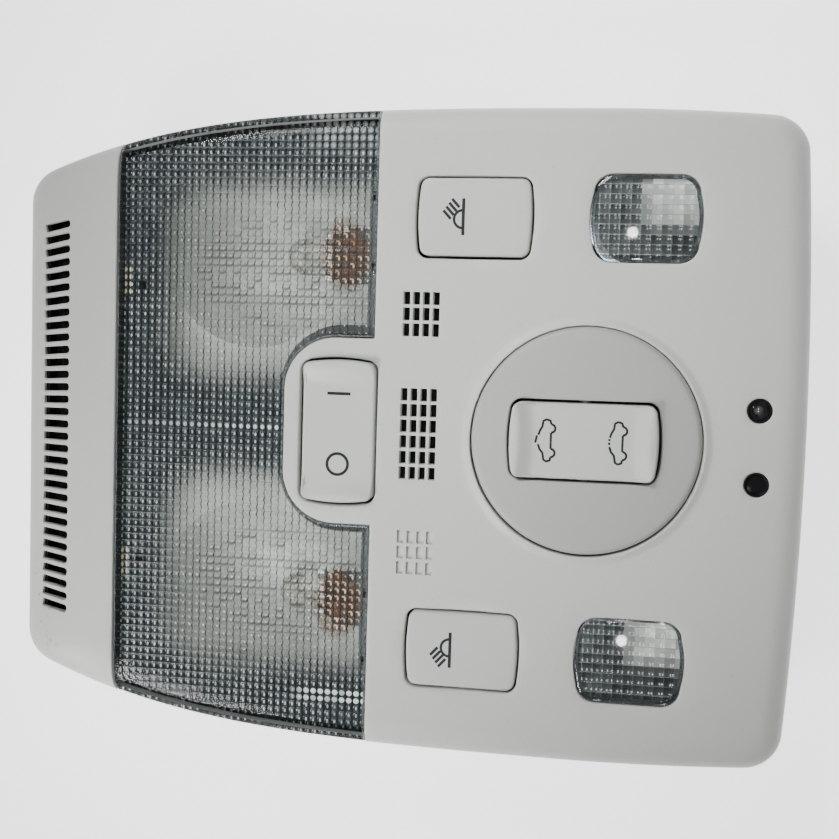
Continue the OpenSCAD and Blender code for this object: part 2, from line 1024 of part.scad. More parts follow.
// Car seen from the side, its roof either open or shut
module car_mark(open) {
  difference() {
    polygon([[-4.6, -0.9], [-4.4, 0.5], [-2.6, 0.9], [-1.5, 2], [1.4, 2], [2.9, 0.8], [4.5, 0.3], [4.6, -0.9]]);
    polygon([[-4.1, -0.5], [-4, 0.2], [-2.4, 0.5], [-1.3, 1.6], [1.2, 1.6], [2.7, 0.4], [4.1, -0.1], [4.1, -0.5]]);
    for (x = [-2.7, 2.7])
      translate([x, -0.9])
        circle(1.05);
    if (open)
      translate([-0.9, 1.2])
        square([1.8, 1.2]);
  }
  for (x = [-2.7, 2.7])
    translate([x, -0.9])
      difference() {
        circle(0.9);
        circle(0.5);
      }
  if (open)
    translate([-0.8, 2.3])
      rotate([0, 0, 20])
        square([2.2, 0.4]);
}

module roof_marks_plan() {
  translate([-8.9, -0.2])
    rotate([0, 0, 90])
      car_mark(true);
  translate([8.9, -0.2])
    rotate([0, 0, 90])
      car_mark(false);
}

module roof_rocker() {
  color("#c6c9c3")
    translate([roof_x, 0, 0])
      difference() {
        rotate([0, 0, 90])
          rocker_cap(pivot_z + disc_lift);
        translate([0, 0, face_z + disc_lift + 0.4])
          linear_extrude(3)
            roof_marks_plan();
      }
}

module roof_rocker_marks() {
  color("#4a4d4f")
    translate([roof_x, 0, face_z + disc_lift + 0.4])
      linear_extrude(0.2)
        roof_marks_plan();
}

module roof_rocker_pin() {
  color("#a9adb0")
    translate([roof_x, 0, pivot_z + disc_lift])
      rotate([0, 0, 90])
        rocker_pin();
}

// Push switch behind a reading button
module reading_switch(s) {
  color("#232527")
    translate([button_x, s * button_y, 0])
      difference() {
        union() {
          translate([-11, -7.5, board_top])
            cube([22, 15, 14]);
          translate([-9, -5.5, board_top])
            cube([18, 11, 17.2]);
        }
        translate([0, 0, 26])
          cylinder(r = 3.4, h = 20);
      }
}

module reading_switch_upper() {
  reading_switch(1);
}

module reading_switch_lower() {
  reading_switch(-1);
}

// Lamp sign on a reading button: reflector, dish and four rays
module lamp_mark(s) {
  translate([-2.9 - 0.35, -4.6])
    square([0.7, 9.2]);
  translate([-3.2, -0.2 * s])
    difference() {
      circle(2.5);
      circle(1.9);
      translate([0, -4])
        square([8, 8]);
    }
  for (i = [0:3])
    translate([-4.4 - i * 0.75, s * (3.6 - i * 1.2)])
      rotate([0, 0, s * -45])
        translate([-4.2, -0.25])
          square([3.4, 0.5]);
}

// Push cap of a reading lamp with a crowned face and a stem
module reading_button(s) {
  top = face_z + button_proud;
  color("#c6c9c3")
    translate([button_x, s * button_y, 0])
      difference() {
        union() {
          difference() {
            intersection() {
              translate([0, 0, face_z - 6])
                linear_extrude(12)
                  button_plan(0);
              translate([0, 40, top - 160])
                rotate([90, 0, 0])
                  cylinder(r = 160, h = 80, $fn = 720);
            }
            translate([0, 0, face_z - 7])
              linear_extrude(5.4)
                rounded(button_l - 3.4, button_w - 3, 2);
          }
          translate([0, 0, 29.5])
            cylinder(r = 3, h = face_z - 31);
        }
        translate([0, 0, top - 0.6])
          linear_extrude(3)
            lamp_mark(s);
      }
}

module reading_button_upper() {
  reading_button(1);
}

module reading_button_lower() {
  reading_button(-1);
}

module button_marks(s) {
  color("#4a4d4f")
    translate([button_x, s * button_y, face_z + button_proud - 0.6])
      linear_extrude(0.4)
        lamp_mark(s);
}

module button_marks_upper() {
  button_marks(1);
}

module button_marks_lower() {
  button_marks(-1);
}

// Clear lens of a reading lamp: a flange behind the trim and a facetted window
module reading_lens(s) {
  top = face_z + 0.3;
  color("#e3eaec", 0.5)
    translate([spot_x, s * spot_y, 0])
      difference() {
        union() {
          translate([0, 0, under_z - 1.6])
            linear_extrude(1.6)
              spot_plan(1.4);
          intersection() {
            translate([0, 0, under_z - 0.2])
              linear_extrude(6)
                spot_plan(0);
            translate([0, 0, top - 120])
              sphere(120, $fn = 240);
          }
        }
        for (i = [-4:5])
          translate([(i - 0.5) * 2.6 - 0.2, -spot_w / 2 + 2, under_z - 3])
            cube([0.4, spot_w - 4, 2]);
        for (i = [-3:4])
          translate([-spot_l / 2 + 2.6, (i - 0.5) * 2.5 - 0.2, under_z - 3])
            cube([spot_l - 5.2, 0.4, 1.9]);
      }
}

module reading_lens_upper() {
  reading_lens(1);
}

module reading_lens_lower() {
  reading_lens(-1);
}

// Bright funnel between a reading bulb and its lens
module reading_bowl(s) {
  z0 = board_top + 6.4;
  z1 = under_z - 1.6;
  color("#d6d9da")
    translate([spot_x, s * spot_y, 0])
      rotate_extrude()
        polygon([[7.2, z0 - 6.4], [8.4, z0 - 6.4], [8.4, z0], [11.6, z0 + 3], [13.2, z1 - 4], [13.4, z1 - 1.2],
          [14.4, z1 - 1.2], [14.4, z1], [12.3, z1], [12, z1 - 4], [10.4, z0 + 4], [7.2, z0 + 1.2]]);
}

module reading_bowl_upper() {
  reading_bowl(1);
}

module reading_bowl_lower() {
  reading_bowl(-1);
}

module reading_bulb(s) {
  translate([spot_x, s * spot_y, board_top + socket_h])
    scale(0.72)
      wedge_bulb();
}

module reading_bulb_upper() {
  reading_bulb(1);
}

module reading_bulb_lower() {
  reading_bulb(-1);
}

module reading_holder(s) {
  color("#d8d6cc")
    translate([spot_x, s * spot_y, board_top + socket_h])
      difference() {
        translate([0, 0, -socket_h])
          cylinder(r = 7, h = socket_h);
        scale(0.72)
          translate([-4.4, -1, -9])
            cube([8.8, 2, 10]);
      }
}

module reading_holder_upper() {
  reading_holder(1);
}

module reading_holder_lower() {
  reading_holder(-1);
}

// Bridge on the board that carries the two microphones
module mic_carrier() {
  color("#2b2d2f") {
    translate([-1, -9, mic_z - 2])
      cube([14, 48, 2]);
    for (y = [-8, 14, 36])
      translate([2, y, board_top])
        cube([7, 2, mic_z - 1.8 - board_top]);
  }
}

module microphones() {
  color("#8f9499")
    for (y = mic_y)
      translate([mic_x, y, mic_z])
        cylinder(r = 4.8, h = 4.4);
}

module mic_boots() {
  color("#1b1c1d")
    for (y = mic_y)
      translate([mic_x, y, mic_z])
        difference() {
          cylinder(r = 6.2, h = foam_z - mic_z);
          translate([0, 0, -1])
            cylinder(r = 4.8, h = 8);
        }
}

module mic_foam() {
  color("#26282a")
    for (i = [0, 1])
      translate([-0.6, i == 0 ? -13 : 24.4, foam_z])
        cube([12.6, i == 0 ? 26 : 13, under_z - foam_z]);
}

// Black tubes that bring the two eyes to the face
module eye_tubes() {
  color("#1d1e20")
    for (s = sides)
      translate([eye_x, s * eye_y, 0])
        difference() {
          union() {
            translate([0, 0, board_top])
              cylinder(r = 4, h = under_z - board_top);
            translate([0, 0, board_top])
              cylinder(r = eye_r - 0.05, h = face_z - 0.3 - board_top);
          }
          translate([0, 0, board_top - 1])
            cylinder(r = 2.3, h = 40);
          translate([0, 0, face_z - 1.4])
            cylinder(r1 = 2.3, r2 = 2.9, h = 1.4);
        }
}

module status_led() {
  color("#dfe3e6")
    translate([eye_x, eye_y, board_top]) {
      cylinder(r = 2.3, h = 20.4);
      cylinder(r = 1.45, h = 22);
      translate([0, 0, 22])
        sphere(1.45);
    }
}

module sensor_eye() {
  color("#0e0f10")
    translate([eye_x, -eye_y, board_top])
      intersection() {
        cylinder(r = 2.3, h = 30);
        translate([0, 0, 23.2 - 25])
          sphere(25);
      }
}

trim_panel();
main_lens();
lens_clips();
clip_pads();
lamp_carrier();
dome_bowl_upper();
dome_bowl_lower();
dome_bulb_upper();
dome_bulb_lower();
dome_holder_upper();
dome_holder_lower();
contact_strips();
rear_housing();
housing_screws();
mounting_clips();
circuit_board();
board_screws();
connector_housing();
connector_pins();
dome_switch_body();
dome_rocker();
dome_rocker_marks();
dome_rocker_pin();
roof_switch_disc();
roof_switch_body();
roof_rocker();
roof_rocker_marks();
roof_rocker_pin();
reading_switch_upper();
reading_switch_lower();
reading_button_upper();
reading_button_lower();
button_marks_upper();
button_marks_lower();
reading_lens_upper();
reading_lens_lower();
reading_bowl_upper();
reading_bowl_lower();
reading_bulb_upper();
reading_bulb_lower();
reading_holder_upper();
reading_holder_lower();
mic_carrier();
microphones();
mic_boots();
mic_foam();
eye_tubes();
status_led();
sensor_eye();
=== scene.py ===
import json
import math

import bmesh
import bpy
import numpy as np
from mathutils import Matrix, Vector
from mathutils.geometry import delaunay_2d_cdt
from mathutils.kdtree import KDTree


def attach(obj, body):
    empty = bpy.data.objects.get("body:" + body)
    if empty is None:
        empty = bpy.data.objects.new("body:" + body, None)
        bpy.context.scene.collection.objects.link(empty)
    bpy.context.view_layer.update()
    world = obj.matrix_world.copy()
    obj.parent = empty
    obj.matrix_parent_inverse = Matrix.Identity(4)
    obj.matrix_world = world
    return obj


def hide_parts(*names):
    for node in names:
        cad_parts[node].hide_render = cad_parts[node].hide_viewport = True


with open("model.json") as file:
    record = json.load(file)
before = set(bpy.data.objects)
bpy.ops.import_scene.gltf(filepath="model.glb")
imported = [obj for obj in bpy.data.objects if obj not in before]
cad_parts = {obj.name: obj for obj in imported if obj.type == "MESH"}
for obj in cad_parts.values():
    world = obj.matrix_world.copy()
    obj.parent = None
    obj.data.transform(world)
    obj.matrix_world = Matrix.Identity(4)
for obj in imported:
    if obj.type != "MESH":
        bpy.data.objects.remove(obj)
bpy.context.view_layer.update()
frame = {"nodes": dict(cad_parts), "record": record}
nodes = frame["nodes"]


class Wire:
    # an output socket that works in plain Python maths
    def __init__(self, finish, socket):
        self.finish, self.socket = finish, socket

    def maths(self, operation, *others, swap=False):
        parts = [self, *others]
        if swap:
            parts.reverse()
        return self.finish.add("Math", {"operation": operation}, dict(enumerate(parts)))

    def __add__(self, other): return self.maths("ADD", other)
    def __radd__(self, other): return self.maths("ADD", other)
    def __sub__(self, other): return self.maths("SUBTRACT", other)
    def __rsub__(self, other): return self.maths("SUBTRACT", other, swap=True)
    def __mul__(self, other): return self.maths("MULTIPLY", other)
    def __rmul__(self, other): return self.maths("MULTIPLY", other)
    def __truediv__(self, other): return self.maths("DIVIDE", other)
    def __abs__(self): return self.maths("ABSOLUTE")


class Finish:
    # one material; add() makes every node in it
    def __init__(self, name):
        self.material = bpy.data.materials.new(name)
        self.material.use_nodes = True
        self.tree = self.material.node_tree
        self.tree.nodes.clear()
        self.place = self.add("TexCoord", out="Object")

    def add(self, kind, settings=None, values=None, out=0):
        node = self.tree.nodes.new("ShaderNode" + kind)
        for key, value in (settings or {}).items():
            setattr(node, key, value)
        for key, value in (values or {}).items():
            if isinstance(value, Wire):
                self.tree.links.new(value.socket, node.inputs[key])
            else:
                node.inputs[key].default_value = value
        return Wire(self, node.outputs[out] if node.outputs else None)

    def noise(self, scale, detail=3, rough=0.55, at=None):
        values = {"Vector": at or self.place, "Scale": scale, "Detail": detail, "Roughness": rough}
        return self.add("TexNoise", {}, values, out="Fac")

    def stretched(self, x, y, z):
        return self.add("Mapping", {}, {"Vector": self.place, "Scale": (x, y, z)})

    def chance(self, x, y, seed=0.0):
        # one even random number for each whole-number cell
        cell = self.add("CombineXYZ", {}, {0: x, 1: y, 2: seed})
        return self.add("TexWhiteNoise", {"noise_dimensions": "3D"}, {"Vector": cell})

    def millimetres(self):
        # X and Y of the point that is shaded
        parts = self.add("SeparateXYZ", {}, {0: self.place})
        return [Wire(self, parts.socket.node.outputs[i]) * 1000 for i in range(2)]

    def blend(self, mask, a, b):
        a, b = [c if isinstance(c, Wire) else (*c, 1) for c in (a, b)]
        return self.add("Mix", {"data_type": "RGBA"}, {0: mask, 6: a, 7: b}, out=2)

    def span(self, wire, low, high, toLow=0.0, toHigh=1.0, soft=False):
        kind = {"interpolation_type": "SMOOTHSTEP"} if soft else {}
        return self.add("MapRange", kind, {0: wire, 1: low, 2: high, 3: toLow, 4: toHigh})

    def bump(self, height, strength, distance, under=None):
        values = {"Strength": strength, "Distance": distance, "Height": height}
        if under:
            values["Normal"] = under
        return self.add("Bump", {}, values)

    def shader(self, **sockets):
        return self.add("BsdfPrincipled", {}, {k.replace("_", " "): v for k, v in sockets.items()})

    def end(self, shader):
        self.add("OutputMaterial", {}, {"Surface": shader})
        return self.material


def shade(tone, factor):
    return tuple(min(1, c * factor) for c in tone)


def mouldedPlastic(name, tone, spread=0.03, rough=0.5, grain=0.35, grainSize=0.00045, gloss=0.5):
    # fine spark-eroded grain over slow waves, with hand polish that comes and goes
    f = Finish(name)
    colour = f.blend(f.noise(28, 2), shade(tone, 1 - spread), shade(tone, 1 + spread))
    roughness = f.span(f.noise(55, 4, 0.6), 0.3, 0.7, rough - 0.06, rough + 0.07)
    wave = f.bump(f.noise(60, 2), 0.12, 0.0003)
    normal = f.bump(f.noise(1 / grainSize, 2, 0.5), grain, 0.00006, wave)
    return f.end(f.shader(Base_Color=colour, Roughness=roughness, Normal=normal, Specular_IOR_Level=gloss))


def trimPlastic(name, tone, look):
    # the visible grey moulding: grain, a little grime in patches and scuffs near the vent end
    f = Finish(name)
    x, y = f.millimetres()
    colour = f.blend(f.noise(22, 3), shade(tone, 1 - look["cloud"]), shade(tone, 1 + look["cloud"]))
    specks = f.span(f.noise(430, 2, 0.4), 0.71, 0.75, 0, look["specks"])
    colour = f.blend(specks, colour, shade(tone, 0.4))
    corner = f.span(x, -91, -98, soft=True) * f.span(y, -34, -48, soft=True)
    marks = f.noise(340, 5, 0.65, at=f.stretched(1, 0.6, 1))
    scuffs = f.span(marks, 0.60, 0.68, 0, look["scuffs"]) * corner
    colour = f.blend(scuffs, colour, look["scuffTone"])
    rub = f.span(f.noise(120, 4, 0.7, at=f.stretched(1, 0.3, 1)), 0.45, 0.75, 0, 0.25) * corner
    colour = f.blend(rub, colour, shade(tone, 0.72))
    roughness = f.span(f.noise(55, 4, 0.6), 0.3, 0.7, look["rough"] - 0.06, look["rough"] + 0.07)
    wave = f.bump(f.noise(60, 2), 0.12, 0.0003)
    normal = f.bump(f.noise(1 / look["grainSize"], 2, 0.5), look["grain"], 0.00006, wave)
    return f.end(f.shader(Base_Color=colour, Roughness=roughness, Normal=normal))


def glossyPlastic(name, tone, rough=0.18, spread=0.05):
    f = Finish(name)
    colour = f.blend(f.noise(90, 3), shade(tone, 1 - spread), shade(tone, 1 + spread))
    roughness = f.span(f.noise(300, 3), 0.3, 0.7, rough * 0.8, rough * 1.3)
    return f.end(f.shader(Base_Color=colour, Roughness=roughness,
                          Normal=f.bump(f.noise(700, 2), 0.08, 0.0001)))


def metal(name, tone, rough=0.3, brushed=400):
    f = Finish(name)
    lines = f.noise(brushed * 6, 2, 0.5, at=f.stretched(1, 0.06, 1))
    colour = f.blend(f.noise(140, 3), shade(tone, 0.88), shade(tone, 1.08))
    roughness = f.span(lines, 0.3, 0.7, rough * 0.8, rough * 1.35)
    return f.end(f.shader(Base_Color=colour, Metallic=1.0, Roughness=roughness,
                          Normal=f.bump(lines, 0.15, 0.00005)))


def clearShell(name, tint, veil, dust, rough=0.06, mirror=0.9, index=1.49):
    # thin clear plastic or glass: see-through, a mirror at low angles, with a faint dusty veil
    f = Finish(name)
    through = f.add("BsdfTransparent", {}, {"Color": (*tint, 1)})
    shine = f.shader(Base_Color=(1, 1, 1, 1), Metallic=1.0, Roughness=rough)
    edge = f.add("Fresnel", {}, {"IOR": index}) * mirror
    pane = f.add("MixShader", {}, {0: edge, 1: through, 2: shine})
    haze = f.shader(Base_Color=(*dust, 1), Roughness=0.35)
    dusty = f.span(f.noise(900, 3, 0.6), 0.4, 0.75, veil * 0.6, veil * 1.5)
    return f.end(f.add("MixShader", {}, {0: dusty, 1: pane, 2: haze}))


bowlZone = {"left": -69.5, "middle": 38.2, "half": 31.5, "cornerR": 18.0}


def bowlReach(x, up):
    # how far a point lies outside the core of the lamp bowls' rounded plan
    r = bowlZone["cornerR"]
    dx = (bowlZone["left"] + r - x).maths("MAXIMUM", 0.0)
    dy = (abs(up - bowlZone["middle"]) - (bowlZone["half"] - r)).maths("MAXIMUM", 0.0)
    return (dx * dx + dy * dy).maths("SQRT")


def bowlPaint(name, tone, rimShadeTone):
    # satin silver with painted shade that darkens it towards the rim of the lamp bowls
    f = Finish(name)
    x, y = f.millimetres()
    reach = bowlReach(x, abs(y)) + (f.noise(60, 2) - 0.5) * 6
    core = f.span(reach, bowlZone["cornerR"] - 0.5, bowlZone["cornerR"] - 9.0, soft=True)
    colour = f.blend(core, rimShadeTone, f.blend(f.noise(50, 3), shade(tone, 0.92), shade(tone, 1.06)))
    roughness = f.span(f.noise(120, 3), 0.3, 0.7, 0.3, 0.42)
    return f.end(f.shader(Base_Color=colour, Roughness=roughness,
                          Normal=f.bump(f.noise(400, 2), 0.1, 0.0001)))


def prismField(name, look):
    # the moulded cells inside the main lens, painted with light: painted shade along the cell walls, a
    # painted glint in each cell, and painted brightness where a lamp bowl stands behind them
    f = Finish(name)
    x, y = f.millimetres()
    up = abs(y)
    waver = (f.noise(170, 2) - 0.5) * look["waver"]
    u, v = x / look["pitch"] + 0.31 + waver, y / look["pitch"] + 0.5
    a, b = u.maths("FRACT") - 0.5, v.maths("FRACT") - 0.5
    column, row = u.maths("FLOOR"), v.maths("FLOOR")
    luck, second, rowLuck = f.chance(column, row), f.chance(column, row, 5.0), f.chance(row, 3.0, 1.5)

    def spot(width, height, at=(0.0, 0.0), core=0.2):
        reach = ((a - at[0]) / width).maths("POWER", 2) + ((b - at[1]) / height).maths("POWER", 2)
        return f.span(reach, 1.0, core, soft=True)

    overBowl = f.span(bowlReach(x + waver * 8, up), bowlZone["cornerR"], bowlZone["cornerR"] - look["fade"],
                      soft=True)
    # painted shade along the walls between the cells, scalloped along Y, and along short sills
    side = abs((u + (b * 6.283).maths("COSINE") * 0.07).maths("FRACT") - 0.5)
    edge = f.span(overBowl, 0, 1, 0.27, 0.34)
    cellEdgeShadeX = f.span(side - edge, 0.0, 0.13, soft=True) * f.span(luck, 0, 1, look["wall"] * 0.75, look["wall"])
    cellEdgeShadeY = f.span(abs(b), 0.36, 0.49, soft=True) * f.span(overBowl, 0, 1, look["sill"], look["sill"] * 0.35)
    # painted shade: dark arcs where the cells bend the view of the bulbs
    nearLamp = f.span(((x + 31) / 29).maths("POWER", 2) + ((up - 41) / 18).maths("POWER", 2), 1.0, 0.45,
                      soft=True)
    arc = f.span(abs(b + 0.24 - a * a * 0.7 - a * 0.14), 0.28, 0.10, soft=True)
    arc = arc * nearLamp * f.span(rowLuck * 0.6 + second * 0.4, 0.28, 0.5) * look["streak"]
    pad = f.span(abs(x + 70.6).maths("MAXIMUM", abs(up - 36.8)), 1.2, 1.0)
    snap = f.span(x, -8.5, -8.2) * f.span(abs(abs(up - 52) - 9), 1.6, 1.3)
    black = pad.maths("MAXIMUM", snap)
    dark = cellEdgeShadeX.maths("MAXIMUM", cellEdgeShadeY).maths("MAXIMUM", arc).maths("MAXIMUM", black)
    # painted glints: tall in the dark zones, small dots over the bowls, a bright row in the middle, and
    # flares near the right end
    tall = spot(0.15, 0.29, (0.06, -0.04), 0.35) * f.span(luck, 0.0, 1.0, 0.4, 1.0)
    twin = spot(0.08, 0.17, (-0.27, 0.12)) * second * 0.7
    dot = spot(0.13, 0.19, (0.10, 0.12)) * overBowl * f.span(luck, 0.1, 0.9, 0.2, 1.0)
    patches = f.span(f.noise(38, 2), 0.35, 0.62, 0.5, 1.0)
    glint = (tall.maths("MAXIMUM", twin) * (1 - overBowl)).maths("MAXIMUM", dot) * patches
    midRow = f.span(up, 0.97, 0.85) * f.span(x, -78, -34, 0.25, 0.95) * spot(0.33, 0.38)
    rightEnd = f.span(x, -29, -21, soft=True)
    rows = (f.span(y, -69.2, -69.4) * f.span(y, -73.3, -73.1)).maths("MAXIMUM", f.span(y, 70, 75, 0, 0.3))
    flare = rightEnd * rows * spot(0.44, 0.42, core=0.5) * f.span(luck, 0, 0.3, 0.5, 1)
    glint = glint.maths("MAXIMUM", midRow).maths("MAXIMUM", flare)
    # painted glints: warm sparks from the amber sockets and brass ones from the springs, painted as their
    # reflections
    warm = f.span(((x + 15) / 7.5).maths("POWER", 2) + ((up - 46) / 11.5).maths("POWER", 2), 1.0, 0.45,
                  soft=True)
    across = spot(0.3, 0.12, (-0.1, 0.3)) * 0.8
    sparks = warm * f.span(second, 0.35, 0.65) * spot(0.16, 0.34, (0.12, 0.0)).maths("MAXIMUM", across)
    # painted glint: brass marks a gold reflection of the springs, not a brass surface
    brass = f.span(abs(x + 74.7), 0.9, 0.7) * f.span(abs(up - 38), 4.2, 3.8) * spot(0.42, 0.46)
    glint = glint.maths("MAXIMUM", sparks).maths("MAXIMUM", brass) * (1 - black)
    # fill of each cell: dark over the dark plate, painted brightness over the lit bowls, an amber tint near
    # the sockets
    dim = f.blend(f.noise(30, 2) * 0.5 + second * 0.5, look["darkLow"], look["darkHigh"])
    fill = f.blend(overBowl, dim, look["bowlFill"])
    fill = f.blend(warm * 0.8, fill, look["warmFill"])
    glow = f.blend(warm, look["glintTone"], f.blend(luck, look["amber"], look["pale"]))
    glow = f.blend(brass, glow, look["goldGlint"])
    colour = f.blend(glint, f.blend(dark, fill, look["cellEdgeShadeTone"]), glow)
    # painted shade: the cover changes across each cell, from one corner to the other
    cover = f.span(overBowl, 0, 1, look["darkCover"], look["bowlCover"])
    cover = cover + warm * 0.35 + (luck + second - 1) * 0.12 + (a + b) * 0.14
    alpha = (cover + dark * look["cellEdgeShadeCover"] + glint + black).maths("MINIMUM", 1.0)
    return f.end(f.shader(Base_Color=colour, Roughness=0.2, Specular_IOR_Level=0.12, Alpha=alpha))


def readingField(name, look, centres):
    # square facets of the reading lenses, painted with light: each is painted as if it catches a different
    # part of its lamp
    f = Finish(name)
    x, y = f.millimetres()
    upper = f.span(y, -1, 1)
    localX = x - centres[0]
    localY = y - (upper * (2 * centres[1]) - centres[1])
    u, v = localX / look["cellX"] + 0.5, localY / look["cellY"] + 0.5
    a, b = u.maths("FRACT") - 0.5, v.maths("FRACT") - 0.5
    column, row = u.maths("FLOOR"), v.maths("FLOOR")
    luck = f.chance(column, row, upper)
    # painted light: the cells towards one corner are painted bright
    corner = f.span(column, -0.6, 0.6) * f.span(row, -1.2, 0.6)
    bright = corner * f.span(luck, 0, 1, 0.5, 1.0)
    tone = f.blend(f.span(luck, 0.1, 0.9), look["darkTone"], look["midTone"])
    tone = f.blend(bright, tone, look["lightTone"])
    # painted sheen across each cell
    cellSheen = f.span(a * 0.7 - b, -0.7, 0.7, 0.0, 0.16)
    tone = f.blend(cellSheen, tone, look["lightTone"])
    # pale painted highlight lines along the cell edges
    lineY = f.span(abs(b), 0.42, 0.485, soft=True) * f.span(f.chance(column, row, 4.0), 0, 1, 0.25, 0.95)
    lineX = f.span(abs(a), 0.44, 0.495, soft=True) * f.span(f.chance(column, row, 7.0), 0, 1, 0.1, 0.55)
    colour = f.blend(lineX.maths("MAXIMUM", lineY), tone, f.blend(corner, look["lineTone"], look["midTone"]))
    alpha = f.span(bright, 0, 1, look["cover"], look["cover"] + 0.12)
    # painted glow: the bright cells give off a faint light of their own
    glow = f.blend(bright, (0, 0, 0), look["lightTone"])
    return f.end(f.shader(Base_Color=colour, Roughness=0.14, Alpha=alpha, Emission_Color=glow,
                          Emission_Strength=0.4))


trimFinish = {"cloud": 0.018, "specks": 0.10, "scuffs": 0.8, "scuffTone": (0.06, 0.06, 0.058), "rough": 0.5,
              "grain": 0.4, "grainSize": 0.00045}
prismFinish = {"pitch": 1.95, "waver": 0.10, "wall": 1.0, "sill": 0.45, "streak": 0.72, "fade": 12.0,
               "darkCover": 0.74, "bowlCover": 0.24, "cellEdgeShadeCover": 0.58, "darkLow": (0.022, 0.030, 0.036),
               "darkHigh": (0.125, 0.148, 0.152), "bowlFill": (0.30, 0.325, 0.30),
               "warmFill": (0.085, 0.045, 0.026), "cellEdgeShadeTone": (0.007, 0.010, 0.011),
               "glintTone": (0.86, 0.89, 0.90), "amber": (0.45, 0.17, 0.07), "pale": (1.0, 0.78, 0.52),
               "goldGlint": (0.95, 0.80, 0.36)}
readingFinish = {"cellX": 2.6, "cellY": 2.5, "darkTone": (0.012, 0.020, 0.026),
                 "midTone": (0.10, 0.125, 0.125), "lightTone": (0.92, 0.96, 0.90),
                 "lineTone": (0.62, 0.70, 0.71), "cover": 0.84}
finishes = {
    "trim": trimPlastic("lightGreyTrim", (0.602, 0.622, 0.572), trimFinish),
    "cap": mouldedPlastic("lightGreyCap", (0.585, 0.607, 0.562), 0.02, 0.42, 0.22),
    "disc": mouldedPlastic("discGrey", (0.425, 0.435, 0.405), 0.03, 0.5, 0.4),
    "mark": mouldedPlastic("printedMark", (0.018, 0.020, 0.022), 0.1, 0.45, 0.2, gloss=0.25),
    "carrier": mouldedPlastic("darkLampPlate", (0.040, 0.052, 0.066), 0.12, 0.4, 0.3),
    "bowl": bowlPaint("silverBowl", (0.80, 0.83, 0.79), (0.14, 0.155, 0.16)),
    "mirror": metal("platedFunnel", (0.80, 0.81, 0.82), 0.12),
    "holder": glossyPlastic("amberSocket", (0.20, 0.06, 0.022), 0.25, 0.2),
    "ivory": mouldedPlastic("ivorySocket", (0.6, 0.58, 0.5), 0.05, 0.5, 0.3),
    "brass": metal("stampedBrass", (0.80, 0.56, 0.20), 0.24),
    "steel": metal("zincSteel", (0.56, 0.57, 0.58), 0.32),
    "housing": mouldedPlastic("blackHousing", (0.022, 0.023, 0.025), 0.15, 0.55, 0.6, 0.0007),
    "black": mouldedPlastic("blackPlastic", (0.010, 0.010, 0.011), 0.2, 0.45, 0.3, gloss=0.25),
    "gloss": glossyPlastic("pianoBlack", (0.006, 0.006, 0.007), 0.08),
    "board": glossyPlastic("greenBoard", (0.015, 0.10, 0.035), 0.3, 0.2),
    "rubber": mouldedPlastic("blackRubber", (0.014, 0.014, 0.014), 0.15, 0.75, 0.5),
    "foam": mouldedPlastic("darkFoam", (0.010, 0.010, 0.011), 0.3, 0.95, 1.0, 0.0012, gloss=0.2),
    "led": clearShell("clearEpoxy", (0.80, 0.80, 0.80), 0.10, (0.80, 0.81, 0.82)),
    "bulb": clearShell("bulbGlass", (0.95, 0.94, 0.91), 0.05, (0.7, 0.55, 0.4)),
    "lens": clearShell("lensFace", (0.98, 0.985, 0.98), 0.004, (0.5, 0.56, 0.58), 0.05, 0.12),
    "smoke": clearShell("readingFace", (0.95, 0.965, 0.97), 0.008, (0.5, 0.56, 0.58), 0.05, 0.9),
    "prisms": prismField("prismField", prismFinish),
    "facets": readingField("readingFacets", readingFinish, (61.5, 56.0)),
    "bead": clearShell("polishedLensEdge", (0.50, 0.55, 0.57), 0.30, (0.50, 0.55, 0.56), 0.12),
}
slotOf = {s["node"]: s["material_slot"] for s in frame["record"]["subparts"]}
for name, node in nodes.items():
    node.data.materials.clear()
    node.data.materials.append(finishes[slotOf[name]])
print("finishes ready:", len(finishes))


# plan shapes of the unit, in millimetres
panel = {"length": 206.2, "halfWidth": 84.0, "wideAt": 45.0, "cornerR": 10.0, "face": 42.0, "rollX": 6.5,
         "rollZ": 5.5, "fallX": 20.0, "underside": 39.5, "skirt": 30.0, "ledge": 36.5, "ledgeUnder": 34.0,
         "seamLedge": 3.2}
rocker = {"width": 19.2, "length": 37.2, "bow": 1.0, "cornerR": 2.4, "gap": 0.75, "lip": 1.7, "scoop": 1.1}
places = {"dome": -15.25, "disc": 48.5, "roof": 48.05, "button": (18.7, 55.7), "spot": (61.5, 56.0),
          "eye": (90.9, 9.2), "seamLeft": -76.8, "seamRight": -6.4}
tongue = {"left": -30.4, "halfWidth": 24.6, "cornerR": 14.0}
endX = panel["length"] / 2
seamLeft, seamRight = places["seamLeft"], places["seamRight"]


def sideY(x):
    d = panel["wideAt"] - x
    return np.where(x > panel["wideAt"], panel["halfWidth"] - d ** 2 / 1300,
                    panel["halfWidth"] - 0.000143 * d ** 2 - 0.0000000337 * d ** 4)


def sideAngle(x):
    d = panel["wideAt"] - x
    return np.where(x > panel["wideAt"], np.arctan(d / 650), np.arctan(0.000286 * d + 0.0000001348 * d ** 3))


